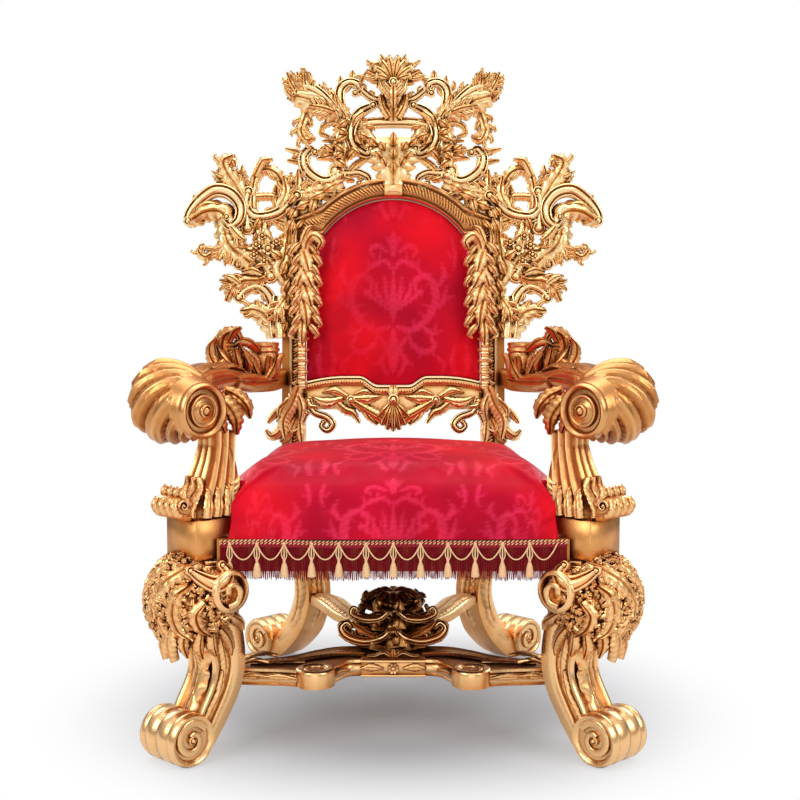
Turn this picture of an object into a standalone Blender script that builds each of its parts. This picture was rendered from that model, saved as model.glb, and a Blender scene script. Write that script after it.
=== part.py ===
# Carved, gilded throne with red damask upholstery: metres, +Z up, facing -Y, origin on the floor below its middle.
import math

import bmesh
import bpy
from mathutils import Matrix, Vector

# Joints between pieces
FIT_GAP = 0.0003                 # between two pieces that touch
WELD = 0.00002                   # points closer than this are one point

# Seat
SEAT_TRIM_HEIGHT = 0.435         # line where the cover meets the rails
SEAT_FRONT_WIDTH = 0.690
SEAT_REAR_WIDTH = 0.590
SEAT_FRONT_Y = -0.389
SEAT_DEPTH = 0.552
SEAT_REAR_Y = SEAT_FRONT_Y + SEAT_DEPTH
SEAT_CROWN = 0.150
RAIL_HEIGHT = 0.062
RAIL_THICKNESS = 0.028
RAIL_INSET = 0.006               # behind the cover's edge
FRINGE_DROP = 0.080
FRINGE_THICKNESS = 0.005

# Front legs and the posts on them
LEG_BLOCK_X = 0.375
LEG_BLOCK_Y = -0.344
LEG_BLOCK_SIDE = 0.094
LEG_BLOCK_BOTTOM = 0.396
LEG_BLOCK_TOP = 0.474
FOOT_RADIUS = 0.053
FOOT_WIDTH = 0.110
FOOT_REACH = 0.064               # from the block's centre to the roll's centre
LEG_WIDTH = 0.094
KNEE_RADIUS = 0.098
KNEE_HEIGHT = 0.312

# Rear legs
REAR_FOOT_RADIUS = 0.047
REAR_FOOT_WIDTH = 0.098
REAR_LEG_TOP_X = 0.236
REAR_LEG_TOP_Y = SEAT_REAR_Y + 0.042
REAR_FOOT_SPLAY = 0.065          # outwards from the leg's top
REAR_FOOT_REACH = 0.193          # backwards from the leg's top
REAR_FOOT_X = REAR_LEG_TOP_X + REAR_FOOT_SPLAY
REAR_FOOT_Y = REAR_LEG_TOP_Y + REAR_FOOT_REACH
REAR_LEG_TOP = 0.434
REAR_LEG_SIDE = 0.066

# Arms
POST_TOP = 0.640
POST_REACH = 0.070               # inwards from the block's centre
ARM_FACE_X = 0.355
ARM_FACE_Y = -0.400
ARM_ROLL_HEIGHT = 0.684
ARM_FACE_RADIUS = 0.052
ARM_ROLL_WIDTH = 0.151

# Back: the leaning plane and the upholstered opening in it
BACK_LEAN = math.radians(8.0)
BACK_PLANE_Y = SEAT_REAR_Y + 0.028
BACK_PLANE_HEIGHT = 0.500
PANEL_HALF_WIDTH = 0.203
PANEL_BOTTOM = 0.183
PANEL_SHOULDER = 0.534
ARCH_SPRING_HALF_WIDTH = 0.164
ARCH_TOP = 0.620
BAND_WIDTH = 0.047
FRAME_HALF_WIDTH = 0.2405
FRAME_FOOT = 0.045
FRAME_BACK = -0.025
FRAME_FRONT = 0.020
SPANDREL_TOP = 0.606
RAIL_BOTTOM = 0.128
RAIL_HUMP = 0.021
PAD_CROWN = 0.014
STILE_WIDTH = 0.054
STILE_DEPTH = 0.034
STILE_OUTER = 0.2595
STILE_TOP = 0.560

# Crest and wings, drawn on a grid whose unit is a share of the carving's own height
CREST_HEIGHT = 0.287
CREST_UNITS = 123.0
CREST_FOOT = 0.663               # on the back plane
WING_HEIGHT = 0.423
WING_UNITS = 181.0
WING_FOOT = 0.301
WING_INNER = 0.238

# Stretchers
STRETCHER_HEIGHT = 0.120         # underside
STRETCHER_THICKNESS = 0.034
STRETCHER_PLATE_Y = -0.227
STRETCHER_END_Y = -0.277
STRETCHER_HALF_WIDTH = 0.352
STRETCHER_DEPTH = 0.116
LOOP_RADIUS = 0.040
LOOP_X = 0.157
LOOP_Y = -0.322
BOSS_Y = -0.075

SQUARE_HALF = math.sqrt(0.5)

# Shares of the faces that a joined carving keeps
CREST_FACES = 0.30
WING_FACES = 0.32
KNEE_FACES = 0.30
ARM_FACES = 0.45
DROP_FACES = 0.65
CARVED_FACES = 0.45


def clear_scene():
    for thing in list(bpy.data.objects):
        bpy.data.objects.remove(thing, do_unlink=True)


# Finishes
def finish(name, colour, roughness, metallic):
    material = bpy.data.materials.new(name)
    material.use_nodes = True
    shader = material.node_tree.nodes["Principled BSDF"]
    shader.inputs["Base Color"].default_value = (*colour, 1.0)
    shader.inputs["Roughness"].default_value = roughness
    shader.inputs["Metallic"].default_value = metallic
    return material


def new_finishes():
    return {
        "gilding": finish("gilding", (0.60, 0.30, 0.09), 0.28, 0.9),
        "damask": finish("damask", (0.62, 0.01, 0.04), 0.55, 0.0),
        "bullion": finish("bullion", (0.36, 0.06, 0.04), 0.7, 0.0),
    }


# Working planes: local x and y lie in the plane, local z points out of its front
def plane(origin, x_axis, y_axis):
    x_axis = Vector(x_axis).normalized()
    y_axis = Vector(y_axis).normalized()
    z_axis = x_axis.cross(y_axis)
    matrix = Matrix((x_axis, y_axis, z_axis)).transposed().to_4x4()
    matrix.translation = origin
    return matrix


BACK = plane(
    (0, BACK_PLANE_Y, BACK_PLANE_HEIGHT),
    (1, 0, 0),
    (0, math.sin(BACK_LEAN), math.cos(BACK_LEAN)),
)
LEG = plane((-LEG_BLOCK_X, LEG_BLOCK_Y, 0), (-1, -1, 0), (0, 0, 1))
LEFT_RIGHT = Matrix.Diagonal((-1, 1, 1, 1))


# Smooth routes through a few knots
def smooth_route(knots, per_span):
    knots = [Vector((*k, 0.0)) if len(k) == 2 else Vector(k) for k in knots]
    route = []
    last = len(knots) - 1
    for i in range(last):
        before = knots[i - 1] if i else knots[i] * 2 - knots[i + 1]
        after = knots[i + 2] if i + 2 <= last else knots[i + 1] * 2 - knots[i]
        a, b = knots[i], knots[i + 1]
        for step in range(per_span):
            t = step / per_span
            route.append(
                0.5 * (2 * a + (b - before) * t
                       + (2 * before - 5 * a + 4 * b - after) * t * t
                       + (3 * a - before - 3 * b + after) * t ** 3)
            )
    route.append(knots[last])
    return route


def spread(values, count):
    """The values, eased evenly over a number of stations."""
    if not isinstance(values, (list, tuple)):
        return [values] * count
    result = []
    for i in range(count):
        at = i / (count - 1) * (len(values) - 1)
        low = min(int(at), len(values) - 2)
        result.append(values[low] + (values[low + 1] - values[low]) * (at - low))
    return result


# Sections of carved members: across and outwards, in half widths and half depths
LEAF_SECTION = [(-1, -0.2), (-0.1, 1), (1, -0.2), (0, -1)]
SCROLL_SECTION = [(-1, -0.7), (-0.8, 0.6), (0, 1), (0.8, 0.6), (1, -0.7)]
SQUARE_SECTION = [(-1, -1), (-1, 1), (1, 1), (1, -1)]
BAR_SECTION = [(-1, -1), (-1, 0.6), (-0.7, 1), (0.7, 1), (1, 0.6), (1, -1)]


def solid_from(vertices, faces):
    mesh = bpy.data.meshes.new("piece")
    mesh.from_pydata([tuple(v) for v in vertices], [], faces)
    builder = bmesh.new()
    builder.from_mesh(mesh)
    bmesh.ops.recalc_face_normals(builder, faces=builder.faces)
    builder.to_mesh(mesh)
    builder.free()
    piece = bpy.data.objects.new("piece", mesh)
    bpy.context.scene.collection.objects.link(piece)
    return piece


def moved(piece, matrix):
    piece.data.transform(matrix)
    if matrix.determinant() < 0:
        piece.data.flip_normals()
    return piece


def rings_solid(rings):
    """A closed solid through rings of equal count, capped at both ends."""
    count = len(rings[0])
    vertices = [point for ring in rings for point in ring]
    faces = []
    for i in range(len(rings) - 1):
        for j in range(count):
            k = (j + 1) % count
            faces.append((i * count + j, i * count + k, (i + 1) * count + k, (i + 1) * count + j))
    faces.append(tuple(range(count)))
    faces.append(tuple((len(rings) - 1) * count + j for j in range(count)))
    return solid_from(vertices, faces)


def member(knots, half_widths, half_depths, section=LEAF_SECTION, per_span=3, front=(0, 0, 1), scale=1.0):
    """A carved member swept along a route, its section facing the front direction."""
    route = smooth_route(knots, per_span)
    count = len(route)
    widths = spread(half_widths, count)
    depths = spread(half_depths, count)
    front = Vector(front)
    rings = []
    for i, point in enumerate(route):
        ahead = route[min(i + 1, count - 1)] - route[max(i - 1, 0)]
        side = front.cross(ahead).normalized()
        out = ahead.cross(side).normalized()
        rings.append([
            (point + side * (across * widths[i]) + out * (outward * depths[i])) * scale
            for across, outward in section
        ])
    return rings_solid(rings)


def turned(profile, sides, matrix, turn=0.0):
    """A turned solid about local z, its profile given as (radius, z), closed at both ends."""
    rings = []
    for radius, height in profile:
        rings.append([
            Vector((
                radius * math.cos(turn + 2 * math.pi * j / sides),
                radius * math.sin(turn + 2 * math.pi * j / sides),
                height,
            ))
            for j in range(sides)
        ])
    return moved(rings_solid(rings), matrix)


def box(low, high, matrix=None):
    x0, y0, z0 = low
    x1, y1, z1 = high
    lower = [Vector((x0, y0, z0)), Vector((x1, y0, z0)), Vector((x1, y1, z0)), Vector((x0, y1, z0))]
    upper = [point + Vector((0, 0, z1 - z0)) for point in lower]
    piece = rings_solid([lower, upper])
    return moved(piece, matrix) if matrix else piece


def prism(outline, low, high, matrix=None):
    """An outline of (x, y) points between two heights."""
    lower = [Vector((x, y, low)) for x, y in outline]
    upper = [Vector((x, y, high)) for x, y in outline]
    piece = rings_solid([lower, upper])
    return moved(piece, matrix) if matrix else piece


def plain_mesh(piece):
    """Make the piece's modifiers part of its mesh."""
    bpy.context.view_layer.update()
    evaluated = piece.evaluated_get(bpy.context.evaluated_depsgraph_get())
    mesh = bpy.data.meshes.new_from_object(evaluated)
    piece.modifiers.clear()
    piece.data = mesh


def weld(piece):
    """Make one point of points that almost meet."""
    builder = bmesh.new()
    builder.from_mesh(piece.data)
    bmesh.ops.remove_doubles(builder, verts=builder.verts, dist=WELD)
    bmesh.ops.dissolve_degenerate(builder, edges=builder.edges, dist=WELD)
    builder.to_mesh(piece.data)
    builder.free()


def combine(operation, base, others):
    """Join or cut a piece by others, which are used up."""
    if not others:
        return base
    group = bpy.data.collections.new("operands")
    for other in others:
        group.objects.link(other)
    boolean = base.modifiers.new(operation.lower(), "BOOLEAN")
    boolean.operation = operation
    boolean.solver = "EXACT"
    boolean.operand_type = "COLLECTION"
    boolean.collection = group
    boolean.use_self = True
    plain_mesh(base)
    weld(base)
    for other in list(group.objects):
        bpy.data.objects.remove(other, do_unlink=True)
    bpy.data.collections.remove(group)
    return base


def thinned(piece, keep):
    """The piece with a share of its faces."""
    thin = piece.modifiers.new("thin", "DECIMATE")
    thin.ratio = keep
    plain_mesh(piece)
    return piece


def node(name, material, pieces, cutters=(), keep=1.0, crisp=()):
    """One named piece: carving joined and thinned, crisp shapes joined to it, then cut by its neighbours' shapes."""
    base = combine("UNION", pieces[0], pieces[1:])
    if keep < 1.0:
        base = thinned(base, keep)
    base = combine("UNION", base, list(crisp))
    base = combine("DIFFERENCE", base, list(cutters))
    base.name = name
    base.data.name = name
    base.data.materials.clear()
    base.data.materials.append(material)
    base.data.shade_smooth()
    base.data.set_sharp_from_angle(angle=math.radians(35))
    return base


def pair(name, material, make, keep=1.0):
    """A left piece and its mirror image on the right."""
    for side, matrix in (("left", Matrix.Identity(4)), ("right", LEFT_RIGHT)):
        pieces, cutters, crisp = make()
        piece = node(name + "_" + side, material, pieces, cutters, keep, crisp)
        moved(piece, matrix)


# Crest
def crest_member(knots, half_widths, depth=5.0, lift=0.0, section=LEAF_SECTION, per_span=3, side=-1):
    """A member on the crest's grid, counted outwards from the middle and up from the arch's top."""
    unit = CREST_HEIGHT / CREST_UNITS
    points = [(side * k[0], k[1], (k[2] if len(k) > 2 else 0) + lift) for k in knots]
    piece = member(points, half_widths, depth, section, per_span)
    placed = BACK @ Matrix.Translation((0, CREST_FOOT, 0)) @ Matrix.Scale(unit, 4)
    return moved(piece, placed)


def crest_half(side):
    def scroll(knots, widths, depth=5.5, lift=0.0, per_span=2):
        return crest_member(knots, widths, depth, lift, SCROLL_SECTION, per_span, side)

    def leaf(knots, widths, depth=4.5, lift=0.0, per_span=2):
        return crest_member(knots, widths, depth, lift, LEAF_SECTION, per_span, side)

    return [
        # Palmette's leaves and its arm to the upper scroll
        leaf([(4, 96), (16, 104, 3), (27, 108, 5)], [6, 5.5, 1.5], 5, 3),
        leaf([(6, 106), (17, 113, 2), (27, 119, 4)], [3.5, 3.5, 1.5], 3.5, 2),
        scroll([(8, 78), (21, 82), (30, 89), (35, 94)], [4, 3.2, 3, 3], 4),
        # Upper scroll with three buds
        scroll([(45, 58), (53, 76), (53, 91), (45, 98), (36, 96), (34, 90)], [5, 4.5, 4.5, 4, 4, 4]),
        leaf([(52, 95), (53, 100), (53, 105)], [2, 3, 1], 3),
        leaf([(42, 98), (41, 105), (41, 110)], [2, 4, 1.5], 3.5),
        leaf([(34, 96), (30, 104), (26, 110)], [3, 2.5, 1], 3),
        # Side scroll of the middle
        scroll([(20, 74), (32, 68), (40, 57), (43, 44), (38, 32), (26, 25)], [3, 4.5, 5, 5, 5, 4], 6.5, 2),
        # Shell leaf and its tips
        leaf([(46, 64), (60, 70, 2), (78, 77, 5), (97, 82, 7)], [7, 13, 13, 8], 7, 0),
        leaf([(93, 82), (101, 94, 6), (106, 105, 9)], [6, 4, 1.5], 4, 4),
        leaf([(80, 82), (87, 94, 5), (88, 105, 9)], [6, 4.5, 1.5], 4, 3),
        leaf([(66, 76), (72, 88, 3), (74, 95, 4)], [5, 3.5, 1], 3.5, 2),
        leaf([(98, 80), (104, 84, 6), (109, 90, 6)], [4, 2.5, 1], 3, 4),
        # Falling leaf and its hook
        leaf([(86, 70), (90, 58), (92, 48, 2), (87, 39, 4), (80, 40, 5)], [6, 5.5, 6, 4, 2.5], 4.5, 0),
        leaf([(50, 56), (61, 58), (70, 54), (72, 47), (64, 43)], [4, 4, 3, 3, 2], 3.5),
        # Cluster beside the middle, with two leaf tips
        leaf([(48, 66), (50, 50), (53, 32), (54, 12)], [7, 9, 10, 7], 6.5),
        leaf([(50, 38), (60, 39, 2), (71, 38, 4)], [4, 3, 1], 3),
        leaf([(52, 25), (64, 23, 2), (76, 20, 4)], [6, 5, 1], 4),
        # Lower scroll with its two fingers
        scroll([(78, 27), (84, 30), (90, 22), (87, 10), (77, 1), (66, -2), (54, 4)], [3, 4, 4.5, 5, 5, 5, 5]),
        leaf([(85, 22), (96, 28), (108, 31, 2)], [4, 3.5, 1.5], 3.5),
        leaf([(85, 15), (96, 18), (106, 19, 2)], [4, 3, 1.5], 3.5),
        # Stem with a small volute
        scroll([(57, 8), (46, 6), (35, 7), (25, 2), (25, -6), (32, -9)], [6, 4, 3.5, 3, 2.5, 3.5], 4.5),
        leaf([(46, 4), (37, 15), (24, 23)], [3.4, 4, 3], 3.5),
        # Foot leaf over the arch's shoulder
        leaf([(95, -16), (80, -13), (64, -9), (50, -3)], [4, 9, 9, 6], 5),
        leaf([(86, -8), (84, -18), (84, -36)], [7, 11, 11], 4),
    ]


def make_crest(finishes):
    def middle(knots, widths, depth, lift=0.0, section=LEAF_SECTION, per_span=2):
        return crest_member(knots, widths, depth, lift, section, per_span, 1)

    pieces = [
        # Palmette, from its foot to its fluted top
        middle([(0, 58), (0, 75, 3), (0, 90, 5), (0, 104, 5), (0, 114, 4), (0, 122, 5)],
               [6, 9, 15, 16, 10, 9], [5, 7, 9, 8, 6, 6], 0, LEAF_SECTION, 2),
        middle([(-36, 55), (0, 57), (36, 55)], 5, 4, 0, BAR_SECTION),
        middle([(0, 41), (0, 30, 3), (0, 18, 4), (0, 6, 3), (0, -14, 2)],
               [36, 34, 27, 16, 9], [5, 8, 9, 7, 5], 0, LEAF_SECTION, 2),
    ]
    for side in (-1, 1):
        pieces += crest_half(side)
        pieces.append(crest_member([(38, 56), (30, 50), (28, 40)], [7, 8, 9], 3, -1, BAR_SECTION, 2, side))
    carved = combine("UNION", pieces[0], pieces[1:])
    carved = combine("DIFFERENCE", carved, [frame_cutter()] + wing_limits())
    return node("crest", finishes["gilding"], [thinned(carved, CREST_FACES)])


# Wings
def wing_member(knots, half_widths, depth=5.0, lift=0.0, section=LEAF_SECTION, per_span=2):
    """A member on the wing's grid, counted outwards from the frame and up from the wing's foot."""
    unit = WING_HEIGHT / WING_UNITS
    points = [(-k[0], k[1], (k[2] if len(k) > 2 else 0) + lift) for k in knots]
    piece = member(points, half_widths, depth, section, per_span)
    placed = BACK @ Matrix.Translation((-WING_INNER, WING_FOOT, 0)) @ Matrix.Scale(unit, 4)
    return moved(piece, placed)


def make_wing():
    def scroll(knots, widths, depth=5.5, lift=0.0, per_span=2):
        return wing_member(knots, widths, depth, lift, SCROLL_SECTION, per_span)

    def leaf(knots, widths, depth=4.5, lift=0.0, per_span=2):
        return wing_member(knots, widths, depth, lift, LEAF_SECTION, per_span)

    pieces = [
        # Shell tongue with its ball end, and the scroll round it
        leaf([(103, 111, 4), (96, 114, 6), (83, 121, 7), (68, 120, 5), (60, 104)], [5, 7, 9, 11, 8], 8, 0),
        leaf([(90, 124, 4), (96, 138, 6)], [4, 1.5], 3, 2),
        scroll([(85, 137), (77, 144), (64, 140), (52, 129), (49, 116), (57, 106)], [4, 4, 4, 4, 4, 4], 5),
        # Top leaf with its curled head
        leaf([(44, 126), (55, 148, 3), (64, 162, 5), (66, 172, 7), (57, 177, 8)], [7, 11, 8, 7, 3], 6),
        leaf([(62, 150, 3), (70, 157, 3), (79, 163, 4)], [5, 3, 1], 3),
        leaf([(50, 146), (50, 158, 2), (48, 169, 4)], [5, 3, 1.5], 3),
        # Ridge scroll and the long scroll towards the crest
        scroll([(70, 147), (54, 139), (45, 124), (43, 106)], [3.5, 4.5, 4.5, 5], 5.5, 1),
        scroll([(42, 142), (45, 128), (38, 118), (26, 117), (11, 122), (-6, 138)], [4, 5, 5, 5, 5, 4], 6, 2),
        # Ring with its leaf
        leaf([(38, 126), (38, 145), (34, 160), (24, 165), (13, 159), (9, 144), (12, 126)],
             [5, 5, 5.5, 5.5, 5.5, 5.5, 5], 5.5),
        leaf([(14, 124), (5, 140, 3), (7, 158, 4)], [6, 7, 2], 4.5),
        leaf([(38, 137), (24, 138), (12, 137)], [4, 4, 4], 3.5),
        leaf([(0, 130), (-6, 148), (-7, 165)], [5, 7, 2], 4.5),
        # Leaf mass below the tongue, with its hook and lobes
        leaf([(66, 112), (63, 93), (50, 79), (38, 70)], [9, 11, 11, 9], 7.5),
        leaf([(62, 92), (75, 82, 2), (85, 77, 4), (91, 83, 5), (86, 89, 5)], [6, 5, 4, 3.5, 2.5], 4),
        leaf([(66, 88), (72, 74, 4)], [6, 3], 4),
        leaf([(54, 84), (59, 69, 3)], [6, 3], 4),
        leaf([(29, 118), (29, 103), (26, 88)], [5, 8, 8], 5),
        # Flower and its blossoms
        turned([(4, -2), (7.5, 2), (6, 8), (2, 9)], 8,
               BACK @ Matrix.Translation((-WING_INNER, WING_FOOT, 0))
               @ Matrix.Scale(WING_HEIGHT / WING_UNITS, 4) @ Matrix.Translation((-22, 85, 0))),
        leaf([(44, 84), (31, 80), (18, 68)], [6, 8, 9], 6.5),
        # Band beside the frame
        leaf([(3, 122), (3, 100), (5, 80), (10, 66), (5, 52), (4, 34)], [6, 5.5, 9, 11, 6, 5], 6),
        leaf([(24, 91), (14, 92), (4, 94)], [5, 4, 4], 5),
        leaf([(26, 116), (14, 114), (4, 111)], [5, 5, 5], 5),
        scroll([(52, 70), (41, 77), (29, 72), (20, 58)], [4, 4, 4, 5], 5),
        # Lower leaf, arch scroll, tip and console
        leaf([(22, 58), (32, 54), (46, 53), (58, 46), (64, 33)], [5, 5, 7, 7, 3], 5.5),
        leaf([(54, 50), (71, 54, 3)], [5, 1.5], 3.5),
        scroll([(51, 37), (45, 44), (33, 48), (23, 41), (16, 26)], [4, 4.5, 4.5, 4.5, 5], 5),
        leaf([(12, 4), (24, 18), (36, 24, 2), (50, 23, 4)], [12, 11, 8, 2], 5.5),
        wing_member([(10, -3), (11, 14), (10, 38)], [12, 13, 9], 10, 0, BAR_SECTION, 2),
    ]
    return pieces, [frame_cutter(), crest_limit()], []


def crest_limit():
    """Keeps the wing clear of the crest where the two meet."""
    unit = WING_HEIGHT / WING_UNITS
    edge = -WING_INNER + 6 * unit
    return box((edge, WING_FOOT + 90 * unit, -0.1), (0.1, WING_FOOT + 160 * unit, 0.1), BACK)


def wing_limits():
    """Keeps the crest clear of both wings."""
    unit = WING_HEIGHT / WING_UNITS
    edge = WING_INNER - 6 * unit - FIT_GAP
    low = WING_FOOT + 90 * unit
    high = WING_FOOT + 156 * unit
    return [
        box((-0.6, low, -0.1), (-edge, high, 0.1), BACK),
        box((edge, low, -0.1), (0.6, high, 0.1), BACK),
    ]


# Back frame, pad and lower rail
def arch_points(radius_extra, count, half_width):
    """Points on the arch, or outside it, from the left spring to the right one."""
    rise = ARCH_TOP - PANEL_SHOULDER
    radius = (ARCH_SPRING_HALF_WIDTH ** 2 + rise ** 2) / (2 * rise)
    centre = ARCH_TOP - radius
    radius += radius_extra
    limit = math.asin(min(half_width / radius, 1.0))
    points = []
    for i in range(count):
        angle = -limit + 2 * limit * i / (count - 1)
        points.append((radius * math.sin(angle), centre + radius * math.cos(angle)))
    return points


def panel_outline(inset=0.0, count=13):
    """The opening's sides, shoulders and arch, from lower left to lower right."""
    side = PANEL_HALF_WIDTH - inset
    shoulder = PANEL_SHOULDER - inset
    arch = arch_points(-inset, count, ARCH_SPRING_HALF_WIDTH - inset)
    arch[0] = (arch[0][0], shoulder)
    arch[-1] = (arch[-1][0], shoulder)
    return [(-side, shoulder)] + arch + [(side, shoulder)]


def frame_outer_outline(extra=0.0, count=13):
    arch = arch_points(BAND_WIDTH + extra, count, ARCH_SPRING_HALF_WIDTH + extra)
    side = FRAME_HALF_WIDTH + extra
    return [(-side, SPANDREL_TOP - 0.036)] + arch + [(side, SPANDREL_TOP - 0.036)]


def frame_cutter():
    """The space that the frame fills, with its fit gap."""
    outline = frame_outer_outline(FIT_GAP)
    side = FRAME_HALF_WIDTH + FIT_GAP
    outline = [(-side, 0.0)] + outline + [(side, 0.0)]
    return prism(outline, -0.2, 0.2, BACK)


def rail_top(u):
    """The lower rail's top edge: low in the middle and two humps."""
    distance = abs(u) / PANEL_HALF_WIDTH
    rise = max(0.0, min(1.0, (distance - 0.18) / 0.20))
    rise = rise * rise * (3 - 2 * rise)
    fall = max(0.0, distance - 0.55) / 0.45
    return PANEL_BOTTOM + RAIL_HUMP * rise * (1 - 0.62 * fall * fall)


def rail_edge(inset, count=15):
    side = PANEL_HALF_WIDTH - inset
    points = []
    for i in range(count):
        u = side - 2 * side * i / (count - 1)
        points.append((u, rail_top(u)))
    return points


FRAME_STEPS = [(0.0, -1.0), (0.0, 0.2), (0.2, 0.3), (0.32, 0.95), (0.66, 0.95), (1.0, 0.4), (1.0, -1.0)]


def make_frame(finishes):
    inner = [(-PANEL_HALF_WIDTH, FRAME_FOOT)] + panel_outline() + [(PANEL_HALF_WIDTH, FRAME_FOOT)]
    outer = [(-FRAME_HALF_WIDTH, FRAME_FOOT)] + frame_outer_outline() + [(FRAME_HALF_WIDTH, FRAME_FOOT)]
    rings = []
    for (iu, iv), (ou, ov) in zip(inner, outer):
        ring = []
        for share, height in FRAME_STEPS:
            depth = FRAME_FRONT * height if height > 0 else -FRAME_BACK * height
            ring.append(Vector((iu + (ou - iu) * share, iv + (ov - iv) * share, depth)))
        rings.append(ring)
    pieces = []
    unit = WING_HEIGHT / WING_UNITS
    grid = BACK @ Matrix.Translation((-WING_INNER, WING_FOOT, 0)) @ Matrix.Scale(unit, 4)
    drop = [
        # Curled top leaf, bunches of leaves and the ribbed tail
        ([(-14, 76, 8), (-17, 90, 12), (-24, 96, 18), (-31, 90, 20), (-29, 84, 17)], [7, 7, 6, 5, 3], 5),
        ([(-13, 82, 8), (-17, 66, 14), (-20, 50, 15), (-18, 30, 13), (-13, 6, 9)], [9, 10, 11, 11, 7], 8),
        ([(-12, 8, 9), (-10, -16, 8), (-8, -56, 6)], [8, 7, 5], 4),
    ]
    hook = [
        # Hanging leaf at the frame's foot
        ([(-7, -46, 4), (0, -70, 5), (8, -88, 6), (4, -104, 6)], [6, 9, 8, 5], 6),
    ]
    for mirror in (Matrix.Identity(4), LEFT_RIGHT):
        for knots, widths, depth in drop + hook:
            points = [(-u, v, n) for u, v, n in knots]
            pieces.append(moved(moved(member(points, widths, depth, LEAF_SECTION, 1), grid), mirror))
    # Keystone plate over the top of the arch
    half = 0.022
    low = ARCH_TOP + 0.002
    plate = box((-half, low, -0.01), (half, ARCH_TOP + BAND_WIDTH * 0.6, FRAME_FRONT + 0.004), BACK)
    crisp = [moved(rings_solid(rings), BACK), plate]
    return node("back_frame", finishes["gilding"], pieces, stile_cutters(), DROP_FACES, crisp)


def make_pad(finishes):
    gap = 0.0015
    upper = panel_outline(gap)
    lower = [(u, v + gap) for u, v in rail_edge(gap)]
    outline = upper + lower
    middle = (0.0, (PANEL_BOTTOM + ARCH_TOP) / 2)
    rings = [[Vector((u, v, FRAME_BACK + 0.006)) for u, v in outline]]
    for share, height in ((1.0, 0.0), (0.93, 0.55), (0.8, 0.85), (0.45, 1.0)):
        ring = []
        for u, v in outline:
            ring.append(Vector((
                middle[0] + (u - middle[0]) * share,
                middle[1] + (v - middle[1]) * share,
                -0.006 + PAD_CROWN * height,
            )))
        rings.append(ring)
    return node("back_pad", finishes["damask"], [moved(rings_solid(rings), BACK)])


def make_back_rail(finishes):
    side = PANEL_HALF_WIDTH - FIT_GAP
    beyond = 0.002
    top = [(u, rail_top(u)) for u, v in rail_edge(-beyond)]
    outline = top + [(-side - beyond, RAIL_BOTTOM), (side + beyond, RAIL_BOTTOM)]
    pieces = [prism(outline, FRAME_BACK, FRAME_FRONT * 0.6, BACK)]
    bead = [(u, v - 0.011, FRAME_FRONT * 0.55) for u, v in top]
    pieces.append(moved(member(bead[::2], 0.009, 0.008, SCROLL_SECTION, 1), BACK))
    unit = WING_HEIGHT / WING_UNITS
    foot = RAIL_BOTTOM / unit
    for side_sign in (-1, 1):
        hooks = [
            # Hook volute, drop leaf and the scroll between them
            ([(84, foot + 3), (74, foot - 5), (62, foot - 9), (60, foot - 17), (68, foot - 20), (71, foot - 14)],
             [5, 5, 4.5, 4.5, 4, 3.5], SCROLL_SECTION, 5),
            ([(60, foot + 5), (47, foot - 1), (37, foot - 4), (31, foot - 13)], [6, 5, 5, 2], LEAF_SECTION, 5),
            ([(38, foot + 6), (23, foot - 3), (10, foot - 10), (-3, foot - 13)], [6, 7, 9, 7], LEAF_SECTION, 6),
        ]
        for knots, widths, section, depth in hooks:
            points = [(side_sign * u, v, 1.0) for u, v in knots]
            piece = member(points, widths, depth, section, 1, scale=unit)
            pieces.append(moved(piece, BACK))
    shell = member([(0, foot + 8, 2), (0, foot - 8, 5), (0, foot - 28, 3)], [15, 18, 6], 7, LEAF_SECTION, 1, scale=unit)
    pieces.append(moved(shell, BACK))
    sides = []
    for low, high in ((-0.5, -side), (side, 0.5)):
        sides.append(box((low, -0.1, -0.2), (high, 0.4, 0.2), BACK))
    return node("back_rail", finishes["gilding"], pieces, sides)


def stile_cutters():
    """The space of both stiles, with its fit gap in front."""
    high = STILE_TOP + 0.05
    front = FRAME_BACK + FIT_GAP
    cutters = []
    for low, far in ((-STILE_OUTER - 0.01, -STILE_OUTER + STILE_WIDTH + 0.01),
                     (STILE_OUTER - STILE_WIDTH - 0.01, STILE_OUTER + 0.01)):
        cutters.append(box((low, -0.2, -0.2), (far, high, front), BACK))
    return cutters


def make_stile():
    inner = STILE_OUTER - STILE_WIDTH
    foot = (REAR_LEG_TOP + FIT_GAP - BACK_PLANE_HEIGHT) / math.cos(BACK_LEAN)
    post = box((-STILE_OUTER, foot - 0.02, FRAME_BACK - STILE_DEPTH), (-inner, STILE_TOP, FRAME_BACK - FIT_GAP), BACK)
    floor_cut = box((-0.5, -0.1, 0.2), (0.0, 0.6, REAR_LEG_TOP + FIT_GAP))
    return [post], [floor_cut], []


# Seat
def seat_half_width(y):
    share = (y - SEAT_FRONT_Y) / SEAT_DEPTH
    return (SEAT_FRONT_WIDTH + (SEAT_REAR_WIDTH - SEAT_FRONT_WIDTH) * share) / 2


def block_cutters(extra, low, high):
    """The space of both front blocks and posts, with room round them."""
    half = LEG_BLOCK_SIDE / 2 + extra
    cutters = []
    for side in (-1, 1):
        matrix = Matrix.Translation((side * LEG_BLOCK_X, LEG_BLOCK_Y, 0)) @ Matrix.Rotation(math.radians(45), 4, "Z")
        cutters.append(box((-half, -half, low), (half, half, high), matrix))
    return cutters


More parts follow.
